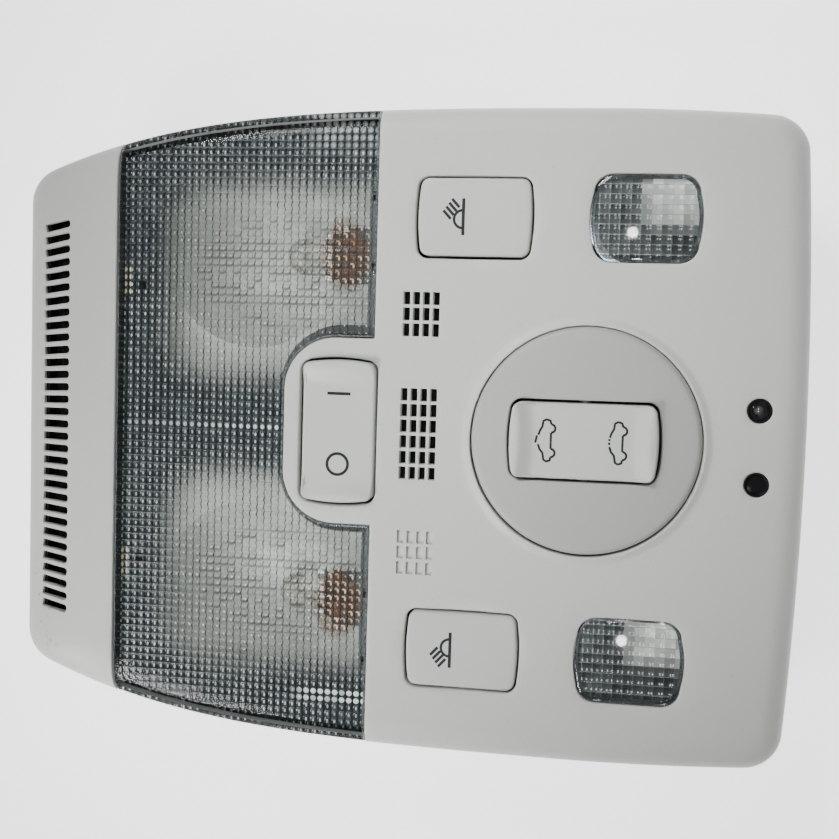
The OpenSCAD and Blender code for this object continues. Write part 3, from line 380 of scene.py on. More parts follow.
def outline(inset, left=0.0, steps=1):
    # the whole outline, drawn in; the left part moves further by its own distance
    r = panel["cornerR"] - inset
    a = np.radians(np.linspace(180, 113, 10 * steps))
    b = np.radians(np.linspace(86, 4, 12 * steps))
    x = np.linspace(-95, 89, 60 * steps)
    t = sideAngle(x)
    y = np.linspace(66, 0, 12 * steps)
    up = np.concatenate([
        np.stack([-endX + panel["cornerR"] + r * np.cos(a), 58.2 + r * np.sin(a)], 1),
        np.stack([x + inset * np.sin(t), sideY(x) - inset * np.cos(t)], 1),
        np.stack([endX - 2.4 - panel["cornerR"] + r * np.cos(b), 72.35 + r * np.sin(b)], 1),
        np.stack([endX - y * y / 2200 - inset, y], 1)])
    up[:, 0] += left * np.clip((panel["wideAt"] - up[:, 0]) / (panel["wideAt"] + endX), 0, None) ** 3
    return np.concatenate([up, up[-2::-1] * [1, -1]])


def rolled(inset):
    return outline(inset, panel["fallX"] * (inset / panel["rollX"]) ** 1.6)


def arcPoints(cx, cy, r, a0, a1, n):
    a = np.radians(np.linspace(a0, a1, n))
    return np.stack([cx + r * np.cos(a), cy + r * np.sin(a)], 1)


def roundedRect(l, w, r, n=5, rightR=None):
    q = r if rightR is None else rightR
    return np.concatenate([
        arcPoints(l / 2 - q, w / 2 - q, q, 0, 90, n), arcPoints(-l / 2 + r, w / 2 - r, r, 90, 180, n),
        arcPoints(-l / 2 + r, -w / 2 + r, r, 180, 270, n), arcPoints(l / 2 - q, -w / 2 + q, q, 270, 360, n)])


def barrel(l, w, r, bow, gap=0.0):
    # rounded rectangle with bowed left and right sides
    big = ((w / 2) ** 2 + bow ** 2) / (2 * bow)
    loop = []
    for k, (sx, sy) in enumerate(((1, 1), (-1, 1), (-1, -1), (1, -1))):
        side = [(l / 2 - big + math.sqrt(big * big - y * y), y) for y in np.linspace(0, w / 2 - r, 10)]
        cx = l / 2 - big + math.sqrt(big * big - (w / 2 - r) ** 2) - r
        corner = [(cx + r * math.cos(a), w / 2 - r + r * math.sin(a))
                  for a in np.radians(np.linspace(0, 90, 9))]
        quarter = [(sx * x, sy * y) for x, y in side + corner[1:]
                   + [(cx * f, w / 2) for f in (0.75, 0.5, 0.25)]]
        loop += quarter if k % 2 == 0 else quarter[::-1]
    return offsetLoop(np.array(loop), -gap) if gap else tidyLoop(np.array(loop))


def tidyLoop(loop):
    keep = [loop[0]]
    for p in loop[1:]:
        if np.hypot(*(p - keep[-1])) > 0.02:
            keep.append(p)
    if np.hypot(*(keep[0] - keep[-1])) < 0.02:
        keep.pop()
    return np.array(keep)


def offsetLoop(loop, inward):
    # moves every point of a counter-clockwise loop along its normal
    loop = tidyLoop(loop)
    d1, d2 = loop - np.roll(loop, 1, 0), np.roll(loop, -1, 0) - loop
    n1 = np.stack([-d1[:, 1], d1[:, 0]], 1) / np.hypot(d1[:, 0], d1[:, 1])[:, None]
    n2 = np.stack([-d2[:, 1], d2[:, 0]], 1) / np.hypot(d2[:, 0], d2[:, 1])[:, None]
    n = n1 + n2
    n /= np.maximum(0.6, (n * n).sum(1) / 2)[:, None]
    return loop + n * inward


def turned(loop, degrees):
    a = math.radians(degrees)
    return loop @ np.array([[math.cos(a), math.sin(a)], [-math.sin(a), math.cos(a)]])


def rockerPlan(gap=0.0, across=False):
    # bowed short ends, nearly square corners; long side along Y unless across
    plan = barrel(rocker["length"], rocker["width"], rocker["cornerR"], rocker["bow"])
    plan = offsetLoop(plan, -gap) if gap else plan
    return plan if across else np.stack([-plan[:, 1], plan[:, 0]], 1)


def tongueLoop(grow, right):
    w, r, x = tongue["halfWidth"] + grow, tongue["cornerR"] + grow, tongue["left"] - grow
    upper = arcPoints(x + r, w - r, r, 90, 180, 24)
    lower = arcPoints(x + r, -w + r, r, 180, 270, 24)
    return np.concatenate([[[right, w]], upper, lower, [[right, -w]]])


def upright(x, reach, n=2):
    return np.stack([np.full(n, float(x)), np.linspace(-reach, reach, n)], 1)


def insideLoop(p, loop):
    # ray test of many points against one closed loop
    inside = np.zeros(len(p), bool)
    lo, hi = loop.min(0), loop.max(0)
    near = np.where((p >= lo).all(1) & (p <= hi).all(1))[0]
    x, y = p[near, 0], p[near, 1]
    hit = np.zeros(len(near), bool)
    for (x1, y1), (x2, y2) in zip(loop, np.roll(loop, -1, 0)):
        if y1 != y2:
            hit ^= ((y1 > y) != (y2 > y)) & (x < (x2 - x1) * (y - y1) / (y2 - y1) + x1)
    inside[near] = hit
    return inside


def loopDistance(p, loop):
    # distance of many points to a closed loop
    best = np.full(len(p), 1e9)
    a, d = loop, np.roll(loop, -1, 0) - loop
    for start in range(0, len(p), 4000):
        q = p[start:start + 4000, None, :]
        t = np.clip(((q - a) * d).sum(2) / np.maximum((d * d).sum(1), 1e-12), 0, 1)
        gap = q - (a + t[..., None] * d)
        best[start:start + 4000] = np.sqrt((gap * gap).sum(2)).min(1)
    return best


def nearBox(p, loop, margin):
    lo, hi = loop.min(0) - margin, loop.max(0) + margin
    return np.where((p > lo).all(1) & (p < hi).all(1))[0]


def rolledHeight(p, layers=22):
    # height of the face over the plan, over the same rolled edge as the solid
    z = np.full(len(p), panel["face"])
    undecided = np.ones(len(p), bool)
    previous, previousZ = None, None
    for k in range(layers + 1):
        u = math.radians(90 * k / layers)
        loop = outline(panel["rollX"] * (1 - math.cos(u)), panel["fallX"] * (1 - math.cos(u)) ** 1.6)
        s = loopDistance(p, loop)
        s[~insideLoop(p, loop)] *= -1
        height = panel["face"] - panel["rollZ"] * (1 - math.sin(u))
        out = undecided & (s <= 0 if k == 0 else s < 0)
        if k == 0:
            z[out] = height
        else:
            f = previous[out] / np.maximum(previous[out] - s[out], 1e-9)
            z[out] = previousZ + (height - previousZ) * f
        undecided[out] = False
        previous, previousZ = s, height
    return z


def triangulate(loops, keep, spacing, fence=0.5, extra=None):
    # Delaunay sheet that holds every loop as an edge, with a loose hexagonal fill
    points, edges = [], []
    for loop, closed in loops:
        start, n = len(points), len(loop)
        points += [tuple(q) for q in loop]
        edges += [(start + i, start + (i + 1) % n) for i in range(n if closed else n - 1)]
    near = KDTree(len(points))
    for i, q in enumerate(points):
        near.insert((q[0], q[1], 0), i)
    near.balance()
    lo, hi = np.array(points).min(0), np.array(points).max(0)
    fill = []
    for row in range(int((hi[1] - lo[1]) / (spacing * 0.866)) + 1):
        y = lo[1] + row * spacing * 0.866
        for x in np.arange(lo[0] + (row % 2) * spacing / 2, hi[0], spacing):
            if near.find((x, y, 0))[2] > spacing * fence:
                fill.append((x, y))
    if fill:
        points += [q for q, ok in zip(fill, keep(np.array(fill))) if ok]
    if extra is not None:
        points += [tuple(q) for q in extra]
    out = delaunay_2d_cdt([Vector(q) for q in points], edges, [], 0, 1e-5)
    verts = np.array([(v[0], v[1]) for v in out[0]])
    tris = np.array([f for f in out[2]])
    tris = tris[keep(verts[tris].mean(1))]
    used, back = np.unique(tris, return_inverse=True)
    return verts[used], back.reshape(-1, 3)


def rimEdges(tris):
    seen = {(int(t[i]), int(t[(i + 1) % 3])) for t in tris for i in range(3)}
    return [e for e in seen if (e[1], e[0]) not in seen]


class Solid:
    # gathers the sheets and walls of one piece, in millimetres, each with its finish
    def __init__(self, *finish):
        self.verts, self.faces, self.looks, self.finish = [], [], [], finish

    def sheet(self, flat, tris, z, up=True, look=0):
        start = len(self.verts)
        self.verts += [(x, y, h) for (x, y), h in zip(flat, np.broadcast_to(z, (len(flat),)))]
        self.faces += [tuple(int(i) + start for i in (t if up else t[::-1])) for t in tris]
        self.looks += list(np.broadcast_to(look, (len(tris),)))

    def wall(self, flat, edges, zTop, zLow, look=0):
        # upright band under the rim of a sheet
        zTop, zLow = np.broadcast_to(zTop, (len(flat),)), np.broadcast_to(zLow, (len(flat),))
        ids = {}
        for a, b in edges:
            for i in (a, b):
                if i not in ids:
                    ids[i] = len(self.verts)
                    self.verts += [(*flat[i], zTop[i]), (*flat[i], zLow[i])]
            self.faces.append((ids[a], ids[a] + 1, ids[b] + 1, ids[b]))
            self.looks.append(look)

    def make(self, name, body, replaced, sharp=35, merge=0.002):
        mesh = bpy.data.meshes.new(name)
        mesh.from_pydata([tuple(c * 0.001 for c in v) for v in self.verts], [], self.faces)
        for finish in self.finish:
            mesh.materials.append(finishes[finish])
        mesh.polygons.foreach_set("material_index", [int(k) for k in self.looks])
        work = bmesh.new()
        work.from_mesh(mesh)
        bmesh.ops.remove_doubles(work, verts=work.verts, dist=merge * 0.001)
        bmesh.ops.recalc_face_normals(work, faces=work.faces)
        work.to_mesh(mesh)
        work.free()
        mesh.polygons.foreach_set("use_smooth", [True] * len(mesh.polygons))
        mesh.set_sharp_from_angle(angle=math.radians(sharp))
        piece = bpy.data.objects.new(name, mesh)
        bpy.context.scene.collection.objects.link(piece)
        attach(piece, body)
        if replaced:
            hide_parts(*replaced)
        return piece


def softStep(t):
    t = np.clip(t, 0, 1)
    return t * t * (3 - 2 * t)


def edgeRound(distance, r):
    # drop of a surface beside an edge of radius r
    t = np.clip(1 - distance / r, 0, 1)
    return r * (1 - np.sqrt(1 - t * t))


trimLook = {"ventRound": 0.3, "grilleRound": 0.16, "openingRound": 0.5, "eyeRound": 0.5,
            "spotRound": 0.4, "discGap": 0.32, "discShift": -0.2, "discSlope": 2.5, "collar": 0.8,
            "spotDish": 1.15, "spotDishR": 20.5, "buttonDish": 0.95, "spacing": 1.7, "pocket": 0.75,
            "pocketSlope": 0.08, "seamRound": 0.45}
# a slot that lies fanAt off the middle is turned by fan degrees
ventLook = {"count": 32, "length": 7.3, "width": 2.0, "x": -93.85, "pitch": 3.33, "shift": 0.45,
            "fan": 12.5, "fanAt": 51}
grilleLook = {"x": 1.8, "pitchX": 2.56, "pitchY": 4.07, "side": 30.9}


def faceOpenings():
    # every loop that opens the face, with the radius of its edge
    out, pitchX, pitchY = [], grilleLook["pitchX"], grilleLook["pitchY"]
    for i in range(ventLook["count"]):
        y = (i - (ventLook["count"] - 1) / 2) * ventLook["pitch"] + ventLook["shift"]
        slot = roundedRect(ventLook["length"], ventLook["width"], 0.2, 3, 0.7)
        slot = turned(slot, ventLook["fan"] * y / ventLook["fanAt"])
        out.append((slot + [ventLook["x"], y], trimLook["ventRound"]))
    for col in range(4):
        for row in range(9):
            y = (row - 2.5) * pitchY if row < 6 else grilleLook["side"] + (row - 7) * pitchY
            out.append((roundedRect(1.7, 3.25, 0.12, 3) + [grilleLook["x"] + col * pitchX, y],
                        trimLook["grilleRound"]))
    out.append((rockerPlan(rocker["gap"]) + [places["dome"] - 0.3, -0.15], trimLook["openingRound"]))
    out.append((arcPoints(places["disc"], trimLook["discShift"], 29 + trimLook["discGap"], 0, 357, 120), 0))
    for s in (1, -1):
        side = [1, s]
        out.append((barrel(29.1, 19.75, 2.4, 0.8, 0.55) + np.multiply(places["button"], side) - [0.15, 0.12],
                    trimLook["openingRound"]))
        out.append((barrel(27.4, 21.6, 4.6, 2.5, 0.2) + np.multiply(places["spot"], side),
                    trimLook["spotRound"]))
        out.append((arcPoints(places["eye"][0], s * places["eye"][1], 3.1, 0, 345, 24), trimLook["eyeRound"]))
    return out


def dishDrop(p):
    # shallow dishes round the reading lenses, pointed oval hollows round the buttons
    drop = np.zeros(len(p))
    big = (16.8 ** 2 + 13.8 ** 2) / (2 * 13.8)
    for s in (1, -1):
        r = np.hypot(p[:, 0] - places["spot"][0], p[:, 1] - s * places["spot"][1])
        drop += trimLook["spotDish"] * (1 - softStep(r / trimLook["spotDishR"]))
        x, y = p[:, 0] - places["button"][0], p[:, 1] - s * places["button"][1]
        edge = np.sqrt(np.maximum(big * big - x * x, 0)) - (big - 13.8)
        inside = np.clip(1 - np.abs(y) / np.maximum(edge, 1e-3), 0, 1) * (edge > 0)
        drop += trimLook["buttonDish"] * softStep(inside * 2.6) * np.clip(edge / 13.8, 0, 1)
    return drop


def discCollar(p):
    # raised collar that leads up to the gap round the disc
    r = np.hypot(p[:, 0] - places["disc"], p[:, 1] - trimLook["discShift"]) - 29 - trimLook["discGap"]
    return -trimLook["collar"] * (1 - softStep(r / trimLook["discSlope"])) + edgeRound(np.maximum(r, 0), 0.35)


def blindFrames():
    # pockets of the third grille, which stay closed
    return [roundedRect(1.75, 3.3, 0.2, 3)
            + [grilleLook["x"] + col * grilleLook["pitchX"], -grilleLook["side"] + row * grilleLook["pitchY"]]
            for col in range(4) for row in (-1, 0, 1)]


def buildTrim():
    openings = faceOpenings()
    vents = [loop for loop, r in openings[:ventLook["count"]]]
    rim, inner = outline(0, 0, 2), outline(2.2)
    far = 400.0
    beyond = [[seamRight, -far], [far, -far], [far, far], [seamRight, far]]
    rightOfSeam = np.concatenate([tongueLoop(-0.3, seamRight), beyond])
    seamRun = np.concatenate([rightOfSeam[:50], [[seamRight, -far], [seamRight - 60, -far],
                                                 [seamRight - 60, far],
                                                 [seamRight, far]]])

    def onTrim(p):
        ok = insideLoop(p, rim) & ((p[:, 0] < seamLeft) | insideLoop(p, rightOfSeam))
        for loop, r in openings:
            ok &= ~insideLoop(p, loop)
        return ok

    loops = [(rim, True)] + [(rolled(i), True) for i in (0.15, 0.4, 0.8, 1.3, 2.0, 2.9, 4.0, 5.3)]
    loops += [(upright(seamLeft - d, 80, 110), False) for d in (0, 0.1, 0.25, 0.45)]
    for grow in (-0.3, -0.4, -0.55, -0.75):
        run = tongueLoop(grow, seamRight + (-0.3 - grow))
        top = np.stack([np.full(40, run[0, 0]), np.linspace(90, run[0, 1], 40)], 1)
        low = np.stack([np.full(40, run[0, 0]), np.linspace(run[-1, 1], -90, 40)], 1)
        straight = np.stack([np.linspace(run[0, 0], run[1, 0], 8)[1:-1], np.full(6, run[0, 1])], 1)
        loops.append((np.concatenate([top, straight, run[1:-1], straight[::-1] * [1, -1], low]), False))
    for loop, r in openings:
        loops.append((loop, True))
        steps = () if r == 0 else (0.15, 0.45, 1.0) if r < 0.35 else (0.08, 0.25, 0.55, 1.0)
        loops += [(offsetLoop(loop, -r * f), True) for f in steps]
    loops += [(arcPoints(places["disc"], trimLook["discShift"], 29 + trimLook["discGap"] + d, 0, 357, 120),
               True) for d in (0.12, 0.35, 0.8, 1.4, 2.0, 2.5)]
    loops += [(offsetLoop(loop, inset), True) for loop in blindFrames()
              for inset in (-0.12, 0, trimLook["pocketSlope"])]
    loops += [(arcPoints(places["spot"][0], s * places["spot"][1], trimLook["spotDishR"], 0, 354, 60), True)
              for s in (1, -1)]
    flat, tris = triangulate(loops, onTrim, trimLook["spacing"])
    drop = dishDrop(flat) + discCollar(flat)
    for loop, r in openings:
        near = nearBox(flat, loop, r)
        if r and len(near):
            drop[near] += edgeRound(loopDistance(flat[near], loop), r)
    seamGap = np.minimum(np.abs(flat[:, 0] - seamLeft), loopDistance(flat, seamRun))
    drop += edgeRound(seamGap, trimLook["seamRound"])
    for loop in blindFrames():
        near = nearBox(flat, loop, 1)
        depth = np.where(insideLoop(flat[near], loop), loopDistance(flat[near], loop), 0)
        drop[near] += trimLook["pocket"] * np.clip(depth / trimLook["pocketSlope"] * 1.02, 0, 1)
    z = rolledHeight(flat) - drop
    # the second finish, the dark plate's, is painted shade on the ledge under the lens
    piece = Solid("trim", "carrier")
    piece.sheet(flat, tris, z)
    low = np.full(len(flat), panel["underside"])
    low[loopDistance(flat, rim) < 0.02] = panel["skirt"]
    low[(seamGap < 0.02) & (low > panel["skirt"])] = panel["ledgeUnder"]
    piece.wall(flat, rimEdges(tris), z, np.minimum(low, z - 0.3))
    # underside of the vent strip, the inner wall of the skirt and its lower edge
    def inStrip(p):
        return insideLoop(p, inner) & (p[:, 0] < seamLeft) & ~np.any([insideLoop(p, l) for l in vents], 0)

    def inSkirt(p):
        return insideLoop(p, rim) & ~insideLoop(p, inner)

    def underLens(p):
        return inSkirt(p) & (p[:, 0] > seamLeft) & (p[:, 0] < seamRight)

    stripLoops = [(inner, True), (upright(seamLeft - 0.01, 72), False)] + [(l, True) for l in vents]
    under, underTris = triangulate(stripLoops, inStrip, 5)
    underZ = np.minimum(panel["underside"], rolledHeight(under) - 0.25)
    piece.sheet(under, underTris, underZ, up=False)
    ring, ringTris = triangulate([(rim, True), (inner, True)], inSkirt, 9)
    piece.sheet(ring, ringTris, panel["skirt"], up=False)
    innerTop = np.minimum(panel["underside"], rolledHeight(inner) - 0.25)
    piece.wall(inner, [(i, (i + 1) % len(inner)) for i in range(len(inner))], innerTop, panel["skirt"])
    # skirt and ledge under the lens; the ledge takes the dark plate's finish, painted shade on grey trim
    # plastic
    seams = [(upright(x, 90), False) for x in (seamLeft, seamRight)]
    band, bandTris = triangulate([(rim, True), (inner, True)] + seams, underLens, 9)
    piece.sheet(band, bandTris, panel["ledge"], look=1)
    outer = [e for e in rimEdges(bandTris) if loopDistance(band[list(e)], rim).max() < 0.02]
    piece.wall(band, outer, panel["ledge"], panel["skirt"])
    window, cutOut, core = outline(8), tongueLoop(-1.0, 0.0), tongueLoop(-2.5, 0.0)
    left, right = seamLeft + panel["seamLedge"], seamRight - panel["seamLedge"]

    def onLedge(p):
        area = insideLoop(p, inner) & (p[:, 0] > seamLeft) & (p[:, 0] < seamRight)
        hole = insideLoop(p, window) & (p[:, 0] > left) & (p[:, 0] < right) & ~insideLoop(p, cutOut)
        return area & ~hole & ~insideLoop(p, core)

    lines = [(inner, True), (window, True), (cutOut, False), (core, False)]
    lines += [(upright(x, 90), False) for x in (seamLeft, seamRight, left, right)]
    shelf, shelfTris = triangulate(lines, onLedge, 9)
    piece.sheet(shelf, shelfTris, panel["ledge"], look=1)
    piece.wall(shelf, rimEdges(shelfTris), panel["ledge"], panel["ledgeUnder"], look=1)
    return piece.make("trimFace", "unit", ("trim_panel",))


trayLook = {"reach": 55.4, "right": -86.2, "inset": 2.8, "fall": 2.6, "wall": 1.2, "top": 39.3, "floor": 35.6,
            "under": 34.4, "foam": 0.45, "ridge": 0.22, "pitch": 1.45}


def buildVentTray():
    # black tray behind the slots, hung from the face, with a sheet of ridged foam in it
    reach, right, wall = trayLook["reach"], trayLook["right"], trayLook["wall"]
    outer = outline(trayLook["inset"], trayLook["fall"])
    inner = outline(trayLook["inset"] + wall, trayLook["fall"])

    def inTray(p):
        return insideLoop(p, outer) & (p[:, 0] < right) & (np.abs(p[:, 1]) < reach)

    def inHollow(p):
        return insideLoop(p, inner) & (p[:, 0] < right - wall) & (np.abs(p[:, 1]) < reach - wall)

    cross = [[[-110, y], [-80, y]] for y in (reach, reach - wall, wall - reach, -reach)]
    lines = [(np.array(c, float), False) for c in cross]
    lines += [(upright(x, 70), False) for x in (right, right - wall)]
    flat, tris = triangulate([(outer, True), (inner, True)] + lines, inTray, 6)
    hollow = inHollow(flat[tris].mean(1))
    tray = Solid("black")
    tray.sheet(flat, tris[~hollow], trayLook["top"])
    tray.sheet(flat, tris[hollow], trayLook["floor"])
    tray.wall(flat, rimEdges(tris[hollow]), trayLook["top"], trayLook["floor"])
    tray.wall(flat, rimEdges(tris), trayLook["top"], trayLook["under"])
    tray.sheet(flat, tris, trayLook["under"], up=False)
    tray.make("ventTray", "unit", ())
    foam = Solid("foam")
    flat, tris = triangulate([(inner, True)] + lines, inHollow, 0.8)
    wave = np.cos(flat[:, 0] * 2 * math.pi / trayLook["pitch"])
    z = trayLook["floor"] + trayLook["foam"] + trayLook["ridge"] * wave
    foam.sheet(flat, tris, z)
    foam.wall(flat, rimEdges(tris), z, trayLook["floor"])
    foam.sheet(flat, tris, trayLook["floor"], up=False)
    foam.make("ventFoam", "unit", ())


lensLook = {"gap": 0.2, "pitch": 1.95, "pillow": 0.30, "steps": 4, "drop": 0.3, "inside": 38.9, "foot": 36.7,
            "bevel": 0.7, "bead": 0.42, "wall": 0.9}


def pillow(x, y, px, py, rise):
    a = (x / px + 0.5) % 1 - 0.5
    b = (y / py + 0.5) % 1 - 0.5
    return rise * 2 * (a * a + b * b)


def nearestOn(p, loops):
    # closest point of several loops to one point, with its distance
    best = (1e9, p)
    for loop in loops:
        d = np.roll(loop, -1, 0) - loop
        t = np.clip(((p - loop) * d).sum(1) / np.maximum((d * d).sum(1), 1e-12), 0, 1)
        q = loop + t[:, None] * d
        m = np.hypot(*(q - p).T)
        if m.min() < best[0]:
            best = (m.min(), q[int(m.argmin())])
    return best


def buildLens():
    # clear pane with a polished bead round its seams and a field of cells on its inside
    x0, x1 = seamLeft + lensLook["gap"], seamRight - lensLook["gap"]
    rim, notch = outline(0, 0, 2), tongueLoop(0, 30.0)

    def onLens(p):
        return insideLoop(p, rim) & (p[:, 0] > x0) & (p[:, 0] < x1) & ~insideLoop(p, notch)

    loops = [(rim, True)] + [(rolled(i), True) for i in (0.15, 0.4, 0.8, 1.3, 2, 2.9, 4, 5.3)]
    for d in (0, 0.15, lensLook["bead"], 0.7):
        loops += [(upright(x0 + d, 80, 110), False), (upright(x1 - d, 86, 120), False),
                  (tongueLoop(d, 10.0), False)]
    flat, tris = triangulate(loops, onLens, 3.2)
    gap = np.minimum(np.abs(flat[:, 0] - x0), np.abs(flat[:, 0] - x1))
    gap = np.minimum(gap, loopDistance(flat, tongueLoop(0, 10.0)))
    z = rolledHeight(flat) - lensLook["drop"] - edgeRound(gap, lensLook["bevel"])
    piece = Solid("lens", "prisms", "bead")
    middle = flat[tris].mean(1)
    onBead = np.minimum(np.minimum(middle[:, 0] - x0, x1 - middle[:, 0]),
                        loopDistance(middle, tongueLoop(0, 10.0)))
    piece.sheet(flat, tris, z, look=np.where(onBead < lensLook["bead"], 2, 0))
    edges = rimEdges(tris)
    piece.wall(flat, edges, z, lensLook["foot"], look=2)
    # the field of cells
    inner, innerNotch = outline(4.2), tongueLoop(lensLook["wall"], 30.0)
    step = lensLook["pitch"] / lensLook["steps"]
    thick = lensLook["wall"]
    nx, ny = int(round((x1 - x0 - 2 * thick) / step)), int(166 / step)
    gx = x0 + thick + np.arange(nx + 1) * ((x1 - x0 - 2 * thick) / nx)
    gy = (np.arange(ny + 1) - ny / 2) * step
    gridX, gridY = np.meshgrid(gx, gy, indexing="ij")
    grid = np.stack([gridX.ravel(), gridY.ravel()], 1)
    middle = np.stack([((gridX[:-1, :-1] + gridX[1:, 1:]) / 2).ravel(),
                       ((gridY[:-1, :-1] + gridY[1:, 1:]) / 2).ravel()], 1)
    cells = np.where(insideLoop(middle, inner) & ~insideLoop(middle, innerNotch))[0]
    corner = cells // ny * (ny + 1) + cells % ny
    quads = np.stack([corner, corner + ny + 1, corner + ny + 2, corner + 1], 1)
    both = np.concatenate([quads[:, [0, 1, 2]], quads[:, [0, 2, 3]]])
    used, back = np.unique(both, return_inverse=True)
    field, fieldTris = grid[used], back.reshape(-1, 3)
    rims = [inner, tongueLoop(thick, x1 - thick)]
    for k in {i for e in rimEdges(fieldTris) for i in e}:
        distance, q = nearestOn(field[k], rims)
        if distance < step * 0.75 and x0 + thick + 0.1 < field[k, 0] < x1 - thick - 0.1:
            field[k] = q
    fieldZ = lensLook["inside"] + pillow(field[:, 0] + 0.19 * lensLook["pitch"], field[:, 1],
                                         lensLook["pitch"],
                                         lensLook["pitch"], lensLook["pillow"])
    piece.sheet(field, fieldTris, fieldZ, up=False, look=1)
    fieldEdges = rimEdges(fieldTris)
    piece.wall(field, [(b, a) for a, b in fieldEdges], fieldZ, lensLook["foot"], look=1)
    # foot ring between the outer wall and the field
    ids, fieldIds = sorted({k for e in edges for k in e}), sorted({k for e in fieldEdges for k in e})
    order = {k: n for n, k in enumerate(ids)}
    fieldOrder = {k: n + len(ids) for n, k in enumerate(fieldIds)}
    points = [Vector(flat[k]) for k in ids] + [Vector(field[k]) for k in fieldIds]
    pairs = [(order[a], order[b]) for a, b in edges] + [(fieldOrder[a], fieldOrder[b]) for a, b in fieldEdges]
    out = delaunay_2d_cdt(points, pairs, [], 0, 1e-6)
    ring, ringTris = np.array([(v[0], v[1]) for v in out[0]]), np.array([f for f in out[2]])
    middle = ring[ringTris].mean(1)
    inField = insideLoop(middle, inner) & ~insideLoop(middle, innerNotch)
    inField &= (middle[:, 0] > x0 + thick) & (middle[:, 0] < x1 - thick)
    piece.sheet(ring, ringTris[onLens(middle) & ~inField], lensLook["foot"], up=False, look=1)
    return piece.make("prismLensPane", "unit", ("main_lens",), sharp=22, merge=0.001)


bowlLook = {"length": 58.4, "width": 66.0, "cornerR": 18.0, "rightR": 3.0, "at": (-38.6, 38.2),
            "dish": (-41.0, 46.0), "dishR": 25.0, "depth": 14.0, "mouth": 33.0, "wall": 1.0, "lip": 0.6,
            "bulbNotch": 6.2, "socketNotch": 7.4}


def buildLampBowl(s, side):
    # silver reflector: a round dish in a wide rounded flange, notched for its bulb and socket
    r, depth = bowlLook["dishR"], bowlLook["depth"]
    ball = (r * r + depth * depth) / (2 * depth)
    at, dish = np.multiply(bowlLook["at"], [1, s]), np.multiply(bowlLook["dish"], [1, s])
    size = [bowlLook[key] for key in ("length", "width", "cornerR")]
    plan = roundedRect(*size, 14, bowlLook["rightR"]) + at
    y, small, big = dish[1], bowlLook["bulbNotch"], bowlLook["socketNotch"]
    notch = np.array([[-24, y - small], [-18, y - small], [-18, y - big], [0, y - big],
                      [0, y + big], [-18, y + big], [-18, y + small], [-24, y + small]])
    tongueEdge = tongueLoop(3.2, 20.0)

    def onBowl(p):
        return insideLoop(p, plan) & ~insideLoop(p, notch) & ~insideLoop(p, tongueEdge)

    loops = [(plan, True), (offsetLoop(plan, 0.25), True), (offsetLoop(plan, bowlLook["lip"]), True),
             (notch, True)]
    loops += [(arcPoints(*dish, d, 0, 357, 120), True) for d in (r, r + 0.5, r - 0.6, 20, 14, 7)]
    flat, tris = triangulate(loops + [(tongueEdge, True)], onBowl, 1.8)
    away = np.hypot(*(flat - dish).T)
    z = bowlLook["mouth"] - depth + ball - np.sqrt(ball * ball - np.minimum(away, r) ** 2)
    z -= edgeRound(loopDistance(flat, plan), bowlLook["lip"]) * 0.8
    piece = Solid("bowl")
    piece.sheet(flat, tris, z)
    piece.wall(flat, rimEdges(tris), z, z - bowlLook["wall"])
    piece.sheet(flat, tris, z - bowlLook["wall"], up=False)
    piece.make(side + "LampBowl", "unit", ("dome_bowl_" + side,))


capLook = {"rockerRound": 0.75, "buttonRound": 0.8, "discRound": 1.5, "holeRound": 0.5, "crown": 0.12,
           "spacing": 0.9, "shell": 1.6, "ceiling": 40.4, "postR": 3.0, "postEnd": 29.5}


def capPiece(name, plan, topHeight, bottom, body, replaced, roundR, spacing, holes=(), finish="cap",
             hollow=None):
    # a cap with a rounded rim, upright sides and, for the disc, a rounded opening
    loops = [(plan, True)] + [(offsetLoop(plan, roundR * f), True) for f in (0.08, 0.22, 0.45, 0.72, 1.0)]
    for hole in holes:
        loops += [(hole, True)] + [(offsetLoop(hole, -capLook["holeRound"] * f), True)
                                   for f in (0.1, 0.3, 0.6, 1.0)]

    def onCap(p):
        ok = insideLoop(p, plan)
        for hole in holes:
            ok &= ~insideLoop(p, hole)
        return ok

    flat, tris = triangulate(loops, onCap, spacing)
    z = topHeight(flat) - edgeRound(loopDistance(flat, plan), roundR)
    for hole in holes:
        z -= edgeRound(loopDistance(flat, hole), capLook["holeRound"])
    piece = Solid(finish)
    piece.sheet(flat, tris, z)
    piece.wall(flat, rimEdges(tris), z, bottom)
    if hollow is None:
        piece.sheet(flat, tris, bottom, up=False)
    else:
        hollowUnderside(piece, plan, hollow, bottom)
    return piece.make(name, body, (replaced,))


def hollowUnderside(piece, plan, centre, bottom):
    # open underside of a push button, with the post that reaches into its switch
    cavity = offsetLoop(plan, capLook["shell"])
    post = arcPoints(*centre, capLook["postR"], 0, 350, 36)
    flat, tris = triangulate([(plan, True), (cavity, True), (post, True)], lambda p: insideLoop(p, plan), 6)
    middle = flat[tris].mean(1)
    onPost = insideLoop(middle, post)
    inCavity = insideLoop(middle, cavity) & ~onPost
    outer = [e for e in rimEdges(tris[inCavity]) if loopDistance(flat[list(e)], cavity).max() < 0.01]
    piece.sheet(flat, tris[~inCavity & ~onPost], bottom, up=False)
    piece.sheet(flat, tris[inCavity], capLook["ceiling"], up=False)
    piece.wall(flat, outer, capLook["ceiling"], bottom)
    piece.wall(flat, rimEdges(tris[onPost]), capLook["ceiling"], capLook["postEnd"])
    piece.sheet(flat, tris[onPost], capLook["postEnd"], up=False)


